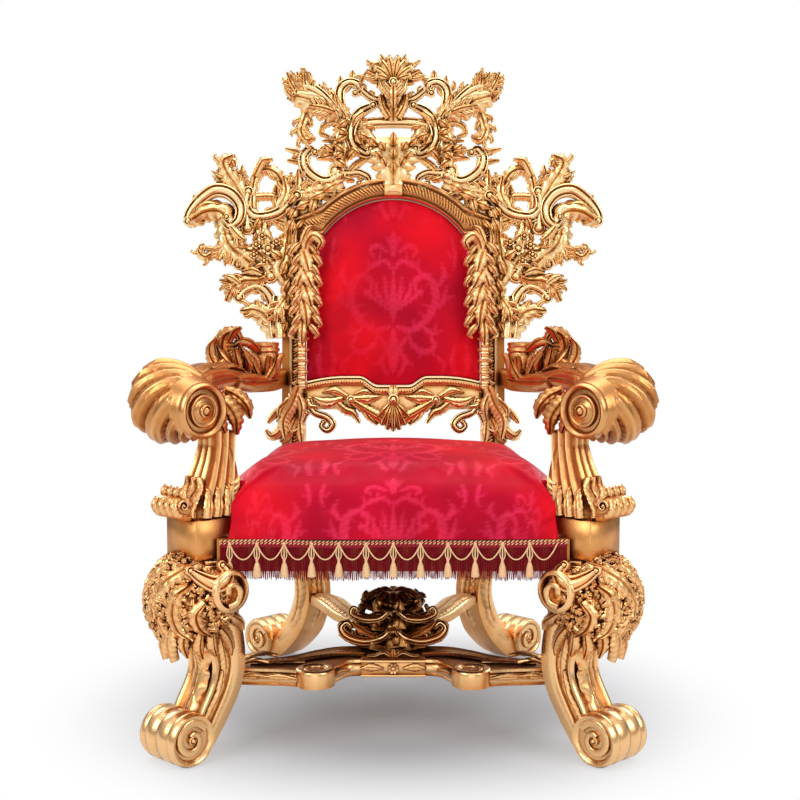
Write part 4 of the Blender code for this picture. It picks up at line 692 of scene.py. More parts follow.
# Small shapes to repeat
def makeShapes():
    shapes = {}

    def finishShape(name, carving):
        piece = carving.build(name)
        shapes[name] = piece
        return piece

    egg = Carving()
    turn = math.radians(34)
    for share in (0,):
        rows = []
        for i in range(7):
            angle = math.pi * i / 6
            r = 0.5 * math.sin(angle) ** 0.7 if 0 < i < 6 else 0.06
            ring = []
            for j in range(8):
                a = 2 * math.pi * j / 8
                x, y, z = 0.0054 * r * math.cos(a), -0.0128 * math.cos(angle), 0.0090 * r * math.sin(a)
                ring.append((x * math.cos(turn) - y * math.sin(turn), x * math.sin(turn) + y * math.cos(turn), z))
            rows.append(ring)
        grid = np.array(rows)
        egg.addGrid(grid, np.clip(0.5 + grid[..., 2] / 0.0036 * 0.5, 0, 1))
    finishShape("gadroon", egg)
    bead = Carving()
    turned(bead, [(0.0006, -0.003), (0.0026, -0.0016), (0.0034, 0.0), (0.0026, 0.0018), (0.0006, 0.0030)], worldPlane, 9)
    finishShape("bead", bead)
    curl = Carving()
    route = np.array([(0, -0.004, 0.0), (0, 0.001, 0.0056), (0, 0.006, 0.0086), (0, 0.0115, 0.0084), (0, 0.0128, 0.0040)])
    wide = np.array([0.0022, 0.0054, 0.0038, 0.0060, 0.0018])
    across = np.array([-1, -0.5, 0, 0.5, 1, 0])[None] * np.ones((5, 1))
    height = np.array([-0.4, 0.9, 0.3, 0.9, -0.4, -1.0])[None] * np.ones((5, 1))
    relief = np.array([0.6, 0.95, 0.15, 0.95, 0.6, 0.2])[None] * np.array([0.6, 1, 0.6, 1, 0.8])[:, None]
    curl.addGrid(swept(route, wide, wide * 0.42, across, height), relief)
    finishShape("curledLeaf", curl)
    flower = Carving()
    blossom(flower, (0, 0, 0.002), 0.0085, 0.0055, worldPlane, 5)
    finishShape("smallBlossom", flower)
    return shapes


shapes = makeShapes()


# Back frame with its gadrooned band and leaf drops
frameLook = {"gadroonSpacing": 0.0078, "fillet": 0.10, "dropPitch": 0.011}
panelSide, panelShoulder, archHalf, archTop = 0.203, 0.534, 0.164, 0.620
bandWidth, frameSide, frameFoot = 0.047, 0.2405, 0.045


def archAt(extra, halfWidth, count):
    rise = archTop - panelShoulder
    radius = (archHalf ** 2 + rise ** 2) / (2 * rise)
    centre = archTop - radius
    radius += extra
    limit = math.asin(min(halfWidth / radius, 1.0))
    angle = np.linspace(-limit, limit, count)
    return np.stack([radius * np.sin(angle), centre + radius * np.cos(angle)], axis=1)


def along(start, end, count):
    return np.linspace(start, end, count)[:-1]


def frameRails():
    inner = np.vstack([along((-panelSide, frameFoot), (-panelSide, panelShoulder), 60),
                       along((-panelSide, panelShoulder), (-archHalf, panelShoulder), 8), archAt(0, archHalf, 61)[:-1],
                       along((archHalf, panelShoulder), (panelSide, panelShoulder), 8),
                       np.linspace((panelSide, panelShoulder), (panelSide, frameFoot), 60)])
    top = 0.570
    arch = archAt(bandWidth, archHalf, 61)
    outer = np.vstack([along((-frameSide, frameFoot), (-frameSide, top), 60), along((-frameSide, top), arch[0], 8),
                       arch[:-1], along(arch[-1], (frameSide, top), 8),
                       np.linspace((frameSide, top), (frameSide, frameFoot), 60)])
    return inner, outer


def makeBackFrame():
    carving = Carving()
    inner, outer = frameRails()
    profile = np.array([(0, -1, 0.3), (0, 0.1, 0.6), (0.015, 0.42, 1.0), (0.05, 0.52, 1.0), (0.09, 0.44, 1.0), (0.11, 0.12, 0.0),
                        (0.15, 0.10, 0.0), (0.19, 0.30, 0.2), (0.30, 0.48, 0.25), (0.46, 0.56, 0.3), (0.64, 0.48, 0.25),
                        (0.74, 0.30, 0.1), (0.77, 0.28, 0.1), (0.79, 0.72, 0.9), (0.85, 0.84, 1.0), (0.91, 0.72, 0.9),
                        (0.93, 0.45, 0.4), (1.0, 0.38, 0.6), (1.0, -1, 0.3), (0.5, -1, 0.3)])
    rings = []
    for (iu, iv), (ou, ov) in zip(inner, outer):
        rings.append([(iu + (ou - iu) * s, iv + (ov - iv) * s, 0.020 * h if h > 0 else 0.025 * h) for s, h, _ in profile])
    grid = np.array(rings)
    carving.addGrid(grid, np.tile(profile[:, 2], (len(grid), 1)), backPlane)
    block(carving, (-0.021, 0.6225, -0.008), (0.021, 0.6475, 0.0235), backPlane, 0.002)
    leaf(carving, [(-0.017, 0.630, 0.024), (0, 0.637, 0.0245), (0.017, 0.630, 0.024)], [0.002, 0.008, 0.002], 0.002, 0,
         backPlane, 1.0, 0.006)
    for place in (wingPlace, mirrorX @ wingPlace):
        def drop(knots, widths, depth=5, lift=0.0):
            points = [(-u, v, n) for u, v, n in knots]
            leaf(carving, points, widths, depth, lift, place, wingUnit, frameLook["dropPitch"], cut=0.4)

        def dropScroll(knots, widths, depth=4):
            points = [(-u, v, n) for u, v, n in knots]
            scroll(carving, points, widths, depth, 0, place, wingUnit)

        drop([(-14, 76, 8), (-17, 90, 12), (-24, 96, 17), (-31, 90, 18), (-29, 84, 15)], [7, 7, 6, 5, 3])
        drop([(-10, 84, 8), (-14, 96, 11), (-18, 104, 11), (-24, 106, 10)], [4, 5, 4, 1.5], 4)
        drop([(-6, 78, 8), (-4, 92, 10), (-6, 104, 10)], [4, 4, 1.5], 4)
        drop([(-13, 82, 9), (-16, 72, 13), (-19, 61, 14)], [8, 10, 5], 6)
        drop([(-12, 66, 9), (-17, 56, 14), (-22, 46, 13)], [8, 10, 4], 6)
        drop([(-16, 66, 9), (-10, 54, 13), (-7, 45, 11)], [7, 8, 3], 6)
        drop([(-14, 50, 9), (-18, 38, 13), (-21, 28, 12)], [8, 10, 4], 6)
        drop([(-14, 48, 9), (-9, 38, 12), (-7, 29, 10)], [6, 7, 3], 5)
        drop([(-13, 34, 9), (-16, 20, 12), (-17, 8, 10)], [8, 9, 3], 6)
        drop([(-13, 30, 8), (-9, 18, 11), (-8, 8, 9)], [6, 6, 2], 5)
        drop([(-13, 16, 8), (-12, 2, 11), (-12, -10, 8)], [7, 7, 2], 5)
        ribs = [3.0 + 1.7 * (i % 2) for i in range(46)]
        scroll(carving, [(11.5, 8, 7), (11.5, -24, 7), (11.5, -54, 7)], ribs, [r * 0.9 for r in ribs], 0, place, wingUnit, 0.0014,
               (0, 0, 1), plainLine, False)
        for i in range(9):
            y = 90 - 10 * i
            for sign in (-1, 1):
                u = 14 + (3 if i % 2 else 0) + sign * 4
                drop([(-u, y, 9), (-u - sign * 5, y - 5, 14), (-u - sign * 9, y - 11, 13), (-u - sign * 7, y - 14, 15)],
                     [2.4, 4.6, 3.2, 1.2], 3.6)
        for i in range(5):
            drop([(-12 + 0.6 * i, 0 - 11 * i, 7), (-16 + 0.5 * i, -5 - 11 * i, 8), (-19 + 0.5 * i, -4 - 11 * i, 7)],
                 [1.5, 2.6, 0.8], 2)
            drop([(-11 + 0.6 * i, 0 - 11 * i, 7), (-7 + 0.5 * i, -5 - 11 * i, 8), (-4 + 0.5 * i, -4 - 11 * i, 7)],
                 [1.5, 2.6, 0.8], 2)
        drop([(-9, -52, 6), (-2, -70, 7), (6, -86, 8), (4, -104, 7)], [6, 9, 8, 3], 6)
        drop([(-7, -58, 7), (-12, -72, 8), (-10, -88, 8)], [4, 6, 2], 5)
        drop([(2, -66, 7), (10, -74, 9), (10, -84, 10)], [3, 4, 1.5], 4)
        dropScroll([(-16, -78, 4), (-9, -92, 6), (-2, -96, 6), (3, -88, 7)], [3, 3.4, 3, 2.4])
        drop([(-4, -82, 4), (8, -95, 6), (18, -101, 6), (24, -95, 7)], [5, 7, 5, 2], 5)
        drop([(-6, -84, 4), (1, -98, 6), (9, -107, 6)], [5, 6, 2.4], 5)
        drop([(-10, -82, 5), (-11, -98, 7), (-12, -107, 6)], [4, 6, 3], 5)
        drop([(4, -70, 4), (16, -80, 6), (22, -88, 6)], [4, 5, 2], 4)
    body = carving.build("backFrameCarving")
    middle = 0.455
    line = [(inner[i][0] + (outer[i][0] - inner[i][0]) * middle, inner[i][1] + (outer[i][1] - inner[i][1]) * middle, 0.0128)
            for i in range(len(inner))]
    gadroons = rowOf("gadroonedBand", pointsOn(backPlane, line), shapes["gadroon"], gold, frameLook["gadroonSpacing"],
                     1.0, 0.02, backNormal)
    body.data.materials.append(goldBrightened)
    for piece in (body, gadroons):
        handOver(piece, "back_frame")


# Lower back rail
railLook = {"beadSpacing": 0.0062, "bottom": 0.128, "base": 0.183, "hump": 0.021}


def railTop(u):
    distance = np.abs(u) / panelSide
    rise = ease(distance, 0.18, 0.38)
    fall = np.maximum(0.0, distance - 0.55) / 0.45
    return railLook["base"] + railLook["hump"] * rise * (1 - 0.62 * fall * fall)


def makeBackRail():
    carving = Carving()
    u = np.linspace(-0.2026, 0.2026, 90)
    top = railTop(u)
    section = [(None, -0.025, 0.3), (None, 0.004, 0.4), (0.030, 0.0075, 0.5), (0.024, 0.0070, 0.1), (0.021, 0.0075, 0.1),
               (0.018, 0.0125, 0.5), (0.008, 0.0125, 0.5), (0.0055, 0.0075, 0.1), (0.004, 0.0115, 0.9), (0.0008, 0.0115, 1.0),
               (0.0, 0.008, 0.7), (0.0, -0.025, 0.3)]
    grid = np.array([[(ui, railLook["bottom"] if d is None else ti - d, n) for d, n, _ in section] for ui, ti in zip(u, top)])
    carving.addGrid(grid, np.tile([s[2] for s in section], (len(grid), 1)), backPlane)
    foot = railLook["bottom"] / wingUnit
    unitPlace = shifted(backPlane, (0, 0, 0), wingUnit)
    for side in (-1, 1):
        def frond(knots, widths, depth=4.0, lift=0.0):
            leaf(carving, [(side * k[0], k[1], k[2] if len(k) > 2 else 4) for k in knots], widths, depth, lift, unitPlace,
                 wingUnit, 0.0095, cut=0.4)

        def curl(knots, widths, depth=4.0):
            scroll(carving, [(side * k[0], k[1], k[2] if len(k) > 2 else 3) for k in knots], widths, depth, 0, unitPlace,
                   wingUnit)

        curl([(84, foot + 8), (78, foot - 3), (66, foot - 8), (60, foot - 15), (65, foot - 21), (71, foot - 17), (69, foot - 13)],
             [4, 4, 4, 4, 3.5, 3, 2.4])
        frond([(56, foot + 6), (47, foot - 1), (40, foot - 4), (33, foot - 14)], [5, 5.5, 5, 1.8], 4.5)
        frond([(40, foot + 8), (24, foot - 2), (11, foot - 9), (-1, foot - 13)], [5, 7, 8, 5], 5)
        frond([(30, foot + 2), (24, foot - 8), (16, foot - 16, 5)], [4, 4, 1.5], 4)
        frond([(50, foot + 10, 5), (66, foot + 6, 6), (80, foot + 12, 5)], [4, 7, 2], 3.5)
        frond([(46, foot + 12, 5), (58, foot + 18, 6), (70, foot + 16, 5)], [4, 5, 1.5], 3)
        frond([(40, foot + 10, 5), (26, foot + 10, 6), (12, foot + 12, 5)], [4, 6, 2], 3.5)
        frond([(38, foot + 14, 5), (28, foot + 17, 6), (20, foot + 13, 5)], [3, 4, 1.2], 3)
        frond([(76, foot + 2, 5), (84, foot + 4, 5), (85, foot + 16, 4)], [3, 4, 1.5], 3)
        dome(carving, (side * 42, foot + 9, 6), 4.6, 4, (0, 0, 1), unitPlace)
    for turn in (-64, -42, -21, 0, 21, 42, 64):
        s, c = math.sin(math.radians(turn)), math.cos(math.radians(turn))
        leaf(carving, [(0.3 * s, foot + 9 - 2 * c, 5), (9 * s, foot + 5 - 12 * c, 7.5), (17 * s, foot + 3 - 25 * c, 5.5)],
             [1.6, 4.4, 2.4], 4.2, 0, unitPlace, wingUnit, 0.03, cut=0.1)
    dome(carving, (0, foot + 9, 7), 6, 5, (0, 0, 1), unitPlace)
    leaf(carving, [(0, foot + 10, 5), (0, foot + 17, 6), (0, foot + 23, 5)], [4, 8, 3], 4, 0, unitPlace, wingUnit, 0.007)
    body = carving.build("backRailCarving")
    body.data.materials.append(goldPale)
    line = np.stack([u, top - 0.013, np.full_like(u, 0.0125)], axis=1)
    beads = rowOf("backRailBeads", pointsOn(backPlane, line), shapes["bead"], gold, railLook["beadSpacing"], 1.0, 0.03, backNormal)
    for piece in (body, beads):
        handOver(piece, "back_rail")


# Front legs: knee of leaves, volute, panelled shank and grooved foot roll
legLook = {"leafGap": 0.0061, "leafSize": 0.82, "seed": 7, "footRadius": 0.053, "footHalf": 0.055}
panelLine = np.array([
    (-1, -0.9, 0.9), (-1, -0.78, 0.9), (-0.86, -0.72, 0.1), (-0.84, 0, 0.1), (-0.86, 0.72, 0.1), (-1, 0.78, 0.9), (-1, 0.9, 0.9),
    (-0.95, 1.0, 0.9), (-0.86, 1.0, 0.9), (-0.80, 0.90, 0.1), (0.02, 0.90, 0.1), (0.08, 1.0, 0.9), (0.5, 1.03, 0.85), (0.95, 1.0, 0.9), (1, 0.9, 0.7), (1, -0.9, 0.5), (0.95, -1.0, 0.9), (0.5, -1.03, 0.85),
    (0.08, -1.0, 0.9), (0.02, -0.90, 0.1), (-0.75, -0.90, 0.1), (-0.80, -1.0, 0.9), (-0.95, -1.0, 0.9)])


def spiral(carving, centre, radius, place, turns=1.9, start=0.0, width=0.10, height=0.0035, handed=1, face=-1):
    angle = np.linspace(0, 2 * np.pi * turns, int(turns * 10))
    r = radius * (0.93 - 0.70 * angle / angle[-1])
    knots = np.stack([centre[0] + r * np.cos(start + handed * angle), centre[1] + r * np.sin(start + handed * angle),
                      np.full_like(r, centre[2])], axis=1)
    widths = radius * width * np.linspace(1.15, 0.6, 12)
    scroll(carving, [tuple(k) for k in knots], widths, height, 0, place, 1.0, 0.004, (0, 0, face), plainLine, False)
    dome(carving, centre, radius * 0.22, height * 1.6, (0, 0, face), place, 18)


def footRoll(carving, radius, half, matrix, face=-1):
    rows = [(0.001, -half + 0.008), (0.72 * radius, -half + 0.008), (0.80 * radius, -half), (0.92 * radius, -half - 0.001),
            (radius, -half + 0.007), (radius, -half + 0.015), (0.93 * radius, -half + 0.019), (0.93 * radius, -half + 0.022),
            (radius, -half + 0.027), (radius, -0.004), (0.92 * radius, 0.0), (0.92 * radius, 0.004), (radius, 0.008),
            (radius, half * 0.55), (0.93 * radius, half * 0.62), (radius, half * 0.72), (radius * 0.95, half - 0.004),
            (0.80 * radius, half), (0.72 * radius, half - 0.008), (0.001, half - 0.008)]
    turned(carving, rows, matrix, 56)
    spiral(carving, (0, 0, face * (half - 0.008)), 0.78 * radius, matrix, 1.25, 2.6, 0.20, 0.0070, -1, face)
    spiral(carving, (0, 0, -face * (half - 0.008)), 0.78 * radius, matrix, 1.25, 2.6, 0.20, 0.0060, 1, -face)


def makeFrontLeg(side):
    carving = Carving()
    shank = [(0.058, 0.018), (0.034, 0.038), (0.006, 0.084), (-0.026, 0.138), (-0.036, 0.186), (-0.024, 0.245),
             (0.000, 0.300), (0.002, 0.398)]
    scroll(carving, shank, [0.013, 0.026, 0.034, 0.036, 0.038, 0.044, 0.050, 0.045], 0.045, 0, legPlane, 1.0, 0.006,
           (0, 0, 1), panelLine, False)
    footRoll(carving, legLook["footRadius"], legLook["footHalf"], shifted(legPlane, (0.064, 0.0522, 0)))
    block(carving, (-0.047, 0.396, -0.047), (0.047, 0.474, 0.047), legPlane, 0.0022)
    # Leaf in the panel, its stem and side shoots
    for z, out in ((-0.0405, -1), (0.0405, 1)):
        for knots, widths, depth in (
                ([(-0.006, 0.250, z), (-0.018, 0.215, z), (-0.024, 0.180, z), (-0.016, 0.148, z)], [0.004, 0.013, 0.014, 0.004], 0.008),
                ([(-0.016, 0.172, z), (-0.012, 0.142, z), (0.004, 0.112, z)], [0.006, 0.013, 0.004], 0.008),
                ([(-0.008, 0.135, z), (0.008, 0.105, z), (0.030, 0.076, z), (0.046, 0.058, z)], [0.006, 0.012, 0.010, 0.003], 0.008)):
            leaf(carving, knots, widths, depth, 0, legPlane, 1.0, 0.0125, 0.0018, (0, 0, out), 0.40)
    for knots, widths in (
            ([(0.058, 0.066, 0), (0.040, 0.078, 0), (0.022, 0.106, 0), (0.010, 0.134, 0)], [0.016, 0.024, 0.024, 0.006]),
            ([(0.020, 0.110, 0), (0.008, 0.138, 0), (0.000, 0.166, 0), (0.002, 0.192, 0)], [0.016, 0.026, 0.026, 0.006]),
            ([(0.002, 0.164, 0), (-0.002, 0.190, 0), (0.006, 0.216, 0), (0.020, 0.236, 0)], [0.016, 0.028, 0.030, 0.012])):
        leaf(carving, knots, widths, 0.010, 0.003, legPlane, 1.0, 0.0260, 0.0018, (1, 0.25, 0), 0.20)
    leaf(carving, [(0.030, 0.240, 0), (0.000, 0.190, 0), (0.006, 0.140, 0), (0.034, 0.090, 0), (0.056, 0.066, 0)],
         [0.003, 0.007, 0.007, 0.005, 0.002], 0.012, 0.002, legPlane, 1.0, 0.02, 0.0022, (1, 0.25, 0), 0.1)
    # Inner volute with a raised rim, its recess and eye
    volute = shifted(legPlane, (-0.004, 0.338, -0.068))
    rows = [(0.001, -0.010), (0.028, -0.010), (0.030, -0.020), (0.033, -0.026), (0.039, -0.026), (0.043, -0.020),
            (0.044, -0.010), (0.042, -0.004), (0.044, 0.004), (0.043, 0.018), (0.036, 0.028), (0.012, 0.030)]
    turned(carving, rows, volute, 44)
    scroll(carving, [(0.010, -0.030, -0.018), (-0.012, -0.024, -0.018), (-0.019, -0.004, -0.018), (-0.008, 0.012, -0.018),
                     (0.008, 0.010, -0.018), (0.010, -0.002, -0.018)], [0.008, 0.008, 0.007, 0.006, 0.006, 0.007], 0.010, 0, volute,
           1.0, 0.003, (0, 0, -1), plainLine, False)
    # Cup scroll on the near face
    scroll(carving, [(0.066, 0.382, -0.050), (0.052, 0.368, -0.066), (0.030, 0.356, -0.080), (0.008, 0.360, -0.082),
                     (0.000, 0.376, -0.080), (0.008, 0.388, -0.074)], [0.008, 0.014, 0.018, 0.018, 0.014, 0.008], 0.011, 0,
           legPlane, 1.0, 0.003, (0.2, 0.3, -1))
    for lift, reach in ((0.392, 0.048), (0.383, 0.051)):
        scroll(carving, [(-0.030, lift, -0.050), (0.0, lift - 0.002, -reach - 0.004), (0.030, lift, -0.050)], 0.0042, 0.004, 0,
               legPlane, 1.0, 0.003, (0, 0, -1), plainLine, False)
    # Leaves that frame the knee and hang below it
    for knots, widths, depth, front in (
            ([(-0.010, 0.292, -0.060), (-0.036, 0.276, -0.058), (-0.056, 0.262, -0.050), (-0.062, 0.248, -0.044)],
             [0.008, 0.014, 0.012, 0.004], 0.010, (-0.2, 0, -1)),
            ([(0.014, 0.270, -0.074), (-0.006, 0.250, -0.070), (-0.022, 0.226, -0.060), (-0.026, 0.206, -0.052)],
             [0.010, 0.016, 0.013, 0.004], 0.011, (0, -0.2, -1)),
            ([(0.034, 0.262, -0.072), (0.026, 0.236, -0.066), (0.014, 0.212, -0.055)], [0.010, 0.015, 0.005], 0.010, (0, -0.2, -1)),
            ([(0.052, 0.262, -0.062), (0.050, 0.234, -0.056), (0.038, 0.210, -0.046)], [0.010, 0.015, 0.005], 0.010, (0.2, -0.2, -1)),
            ([(0.074, 0.268, -0.044), (0.074, 0.240, -0.040), (0.062, 0.214, -0.034)], [0.012, 0.016, 0.005], 0.010, (0.6, -0.2, -1)),
            ([(0.086, 0.270, -0.02), (0.090, 0.240, -0.02), (0.080, 0.206, -0.02)], [0.014, 0.018, 0.006], 0.010, (1, -0.1, 0)),
            ([(0.070, 0.256, 0.020), (0.076, 0.230, 0.020), (0.070, 0.202, 0.020)], [0.014, 0.018, 0.006], 0.010, (1, -0.1, 0)),
            ([(0.060, 0.266, 0.060), (0.054, 0.236, 0.056), (0.040, 0.208, 0.046)], [0.014, 0.018, 0.006], 0.010, (0.2, -0.1, 1)),
            ([(0.020, 0.266, 0.072), (0.004, 0.238, 0.066), (-0.012, 0.212, 0.055)], [0.014, 0.018, 0.006], 0.010, (0, -0.1, 1)),
            ([(-0.060, 0.300, -0.03), (-0.064, 0.276, -0.02), (-0.052, 0.256, -0.02)], [0.012, 0.016, 0.006], 0.010, (-1, 0, -0.3))):
        leaf(carving, knots, widths, depth, 0, legPlane, 1.0, 0.0105, 0.0020, front, 0.42)
    # Large leaves over the knee, placed as seen from the front: share to the left, share up
    for knots, widths in (
            ([(-0.25, 0.80), (0.20, 0.66), (0.58, 0.40), (0.78, 0.02), (0.70, -0.34)], [0.010, 0.021, 0.023, 0.018, 0.005]),
            ([(0.02, 0.46), (0.28, 0.26), (0.36, -0.10), (0.22, -0.44), (-0.06, -0.62)], [0.009, 0.019, 0.021, 0.016, 0.005]),
            ([(-0.30, 0.16), (-0.12, -0.08), (-0.20, -0.36), (-0.46, -0.56)], [0.008, 0.017, 0.015, 0.004]),
            ([(0.66, -0.20), (0.50, -0.52), (0.24, -0.76)], [0.009, 0.017, 0.004]),
            ([(0.40, 0.78), (0.72, 0.56), (0.92, 0.20)], [0.009, 0.016, 0.004])):
        way = np.array([(0.606 * math.sqrt(max(0.0, 1 - a * a - b * b)) + 0.707 * a, b,
                         0.707 * a - 0.795 * math.sqrt(max(0.0, 1 - a * a - b * b))) for a, b in knots])
        route = way * np.array([0.083, 0.096, 0.089]) + np.array([0.026, 0.312, 0.006])
        leaf(carving, [tuple(k) for k in route], widths, 0.012, 0, legPlane, 1.0, 0.0150, 0.0018, tuple(way[len(way) // 2]), 0.36)
    turn = np.linspace(0, 2 * np.pi, 64, endpoint=False)[None, :]
    slope = np.linspace(0.05, np.pi - 0.05, 40)[:, None]
    lump = 0.90 + 0.035 * np.cos(5 * turn + 3 * slope) * np.sin(slope) + 0.02 * np.cos(9 * turn - 7 * slope)
    radius = 0.098
    grid = np.stack([0.026 + 0.86 * radius * lump * np.sin(slope) * np.cos(turn),
                     0.312 + 1.0 * radius * lump * np.cos(slope) + 0 * turn,
                     0.006 + 0.93 * radius * lump * np.sin(slope) * np.sin(turn)], axis=-1)
    carving.addGrid(grid, np.zeros(grid.shape[:2]), legPlane)
    body = carving.build("frontLegCarving_" + side, side == "right")
    body.data.materials.append(gold)
    # Curled leaves all over the knee
    inner = (lump * 0 + 0.925)
    shell = np.stack([0.026 + 0.86 * radius * inner * np.sin(slope) * np.cos(turn),
                      0.312 + 1.0 * radius * inner * np.cos(slope) + 0 * turn,
                      0.006 + 0.93 * radius * inner * np.sin(slope) * np.sin(turn)], axis=-1)
    pieces = [body]
    base = Carving()
    base.addGrid(shell, np.zeros(shell.shape[:2]), legPlane, True)
    cover = base.build("kneeLeaves_" + side, side == "right")
    pieces.append(repeatShape("kneeLeaves_" + side, cover, scatterTree, shapes["curledLeaf"], gold,
                              {"Gap": legLook["leafGap"], "Size": legLook["leafSize"], "Vary": 0.22, "Seed": legLook["seed"]}))
    for piece in pieces:
        handOver(piece, "front_leg_" + side)


# Posts: fluted, on a collar of leaves
def makePost(side):
    carving = Carving()
    rows = denseProfile([(0.004, 0.4745, 0.041), (0.004, 0.488, 0.044), (-0.006, 0.505, 0.043), (-0.016, 0.522, 0.038),
                         (-0.026, 0.545, 0.033), (-0.036, 0.580, 0.0285), (-0.042, 0.610, 0.026), (-0.042, 0.6385, 0.027)], 60)
    corner = 48
    ring = np.linspace(0, 4, corner, endpoint=False)
    sideIndex = ring.astype(int)
    s = ring - sideIndex
    flute = np.abs(np.sin(3 * np.pi * s)) ** 0.6
    edge = np.minimum(s, 1 - s)
    depth = 1 - 0.15 * flute * (edge > 0.04)
    x = np.choose(sideIndex, [-1 + 2 * s, 1 + 0 * s, 1 - 2 * s, -1 + 0 * s])
    z = np.choose(sideIndex, [-1 + 0 * s, -1 + 2 * s, 1 + 0 * s, 1 - 2 * s])
    x = np.where(np.isin(sideIndex, [1, 3]), x * depth, x)
    z = np.where(np.isin(sideIndex, [0, 2]), z * depth, z)
    grid = np.stack([rows[:, :1] + rows[:, 2:] * x[None], rows[:, 1:2] + 0 * x[None], rows[:, 2:] * z[None]], axis=-1)
    carving.addGrid(grid, np.tile(np.where(edge < 0.05, 1.0, 0.85 - 0.7 * flute), (len(rows), 1)), legPlane)
    # Toe curl, collar leaves and the strip of leaves on the inner edge
    scroll(carving, [(0.030, 0.492, 0), (0.052, 0.488, 0), (0.070, 0.496, 0), (0.076, 0.508, 0), (0.068, 0.516, 0),
                     (0.060, 0.511, 0)], [0.013, 0.011, 0.009, 0.007, 0.006, 0.004], 0.034, 0, legPlane, 1.0, 0.003, (0, 0, 1),
           plainLine, False)
    scroll(carving, [(-0.006, 0.500, 0), (-0.040, 0.508, 0), (-0.058, 0.528, 0), (-0.064, 0.556, 0), (-0.056, 0.596, 0),
                     (-0.038, 0.632, 0)], [0.018, 0.018, 0.015, 0.012, 0.010, 0.008], [0.036, 0.038, 0.034, 0.029, 0.025, 0.022],
           0, legPlane, 1.0, 0.004, (0, 0, 1))
    for i in range(5):
        y = 0.484 + 0.0125 * i
        x0 = -0.036 - 0.020 * math.sin(min(1.0, i / 4) * math.pi / 2)
        for z in (-0.034, 0.034):
            z *= 1 - 0.03 * i
            leaf(carving, [(x0 + 0.006, y, z), (x0 - 0.010, y + 0.004, z * 1.06), (x0 - 0.014, y + 0.014, z * 0.98)],
                 [0.004, 0.0080, 0.003], 0.005, 0, legPlane, 1.0, 0.006, 0.0018, (-0.4, 0, -1 if z < 0 else 1))
    for i in range(4):
        z = -0.030 + 0.020 * i
        leaf(carving, [(0.046, 0.480, z), (0.074, 0.486, z), (0.086, 0.502, z), (0.078, 0.516, z)], [0.006, 0.012, 0.011, 0.004],
             0.007, 0, legPlane, 1.0, 0.0110, 0.0018, (1, -0.3, 0), 0.42)
        leaf(carving, [(0.036, 0.500, z), (0.054, 0.510, z), (0.064, 0.526, z), (0.056, 0.536, z)], [0.006, 0.012, 0.010, 0.004],
             0.007, 0, legPlane, 1.0, 0.0110, 0.0018, (1, 0.4, 0), 0.42)
    for z in (-0.036, 0.036):
        spiral(carving, (0.066, 0.505, z), 0.013, legPlane, 1.2, 0.0, 0.16, 0.003, 1, -1 if z < 0 else 1)
    for out, reach in ((-1, -0.046), (1, 0.046)):
        for shift, size in ((-0.030, 0.011), (-0.008, 0.013), (0.016, 0.013)):
            leaf(carving, [(shift, 0.478, reach), (shift - 0.002, 0.497, reach * 1.02), (shift - 0.008, 0.522, reach * 0.80),
                           (shift - 0.006, 0.532, reach * 0.86)], [size * 0.9, size, size * 0.7, size * 0.2], 0.007, 0,
                 legPlane, 1.0, 0.009, 0.0018, (0, 0, out))
    for base in (-0.028, 0.0, 0.028):
        leaf(carving, [(-0.044, 0.480, base), (-0.050, 0.500, base), (-0.056, 0.528, base * 0.9), (-0.054, 0.560, base * 0.7)],
             [0.012, 0.013, 0.010, 0.003], 0.007, 0, legPlane, 1.0, 0.009, 0.0018, (-1, 0.1, 0))
        leaf(carving, [(0.044, 0.480, base), (0.038, 0.506, base), (0.016, 0.530, base * 0.8), (0.014, 0.552, base * 0.6)],
             [0.012, 0.013, 0.009, 0.003], 0.008, 0, legPlane, 1.0, 0.009, 0.0018, (1, 0.2, 0))
    body = carving.build("armPostCarving_" + side, side == "right")
    body.data.materials.append(gold)
    handOver(body, "arm_post_" + side)


# Arms: roll wrapped in acanthus, bar, rear leaf scroll and cup
armLook = {"radius": 0.052, "ridges": 9, "twist": 26.0, "width": 0.151}


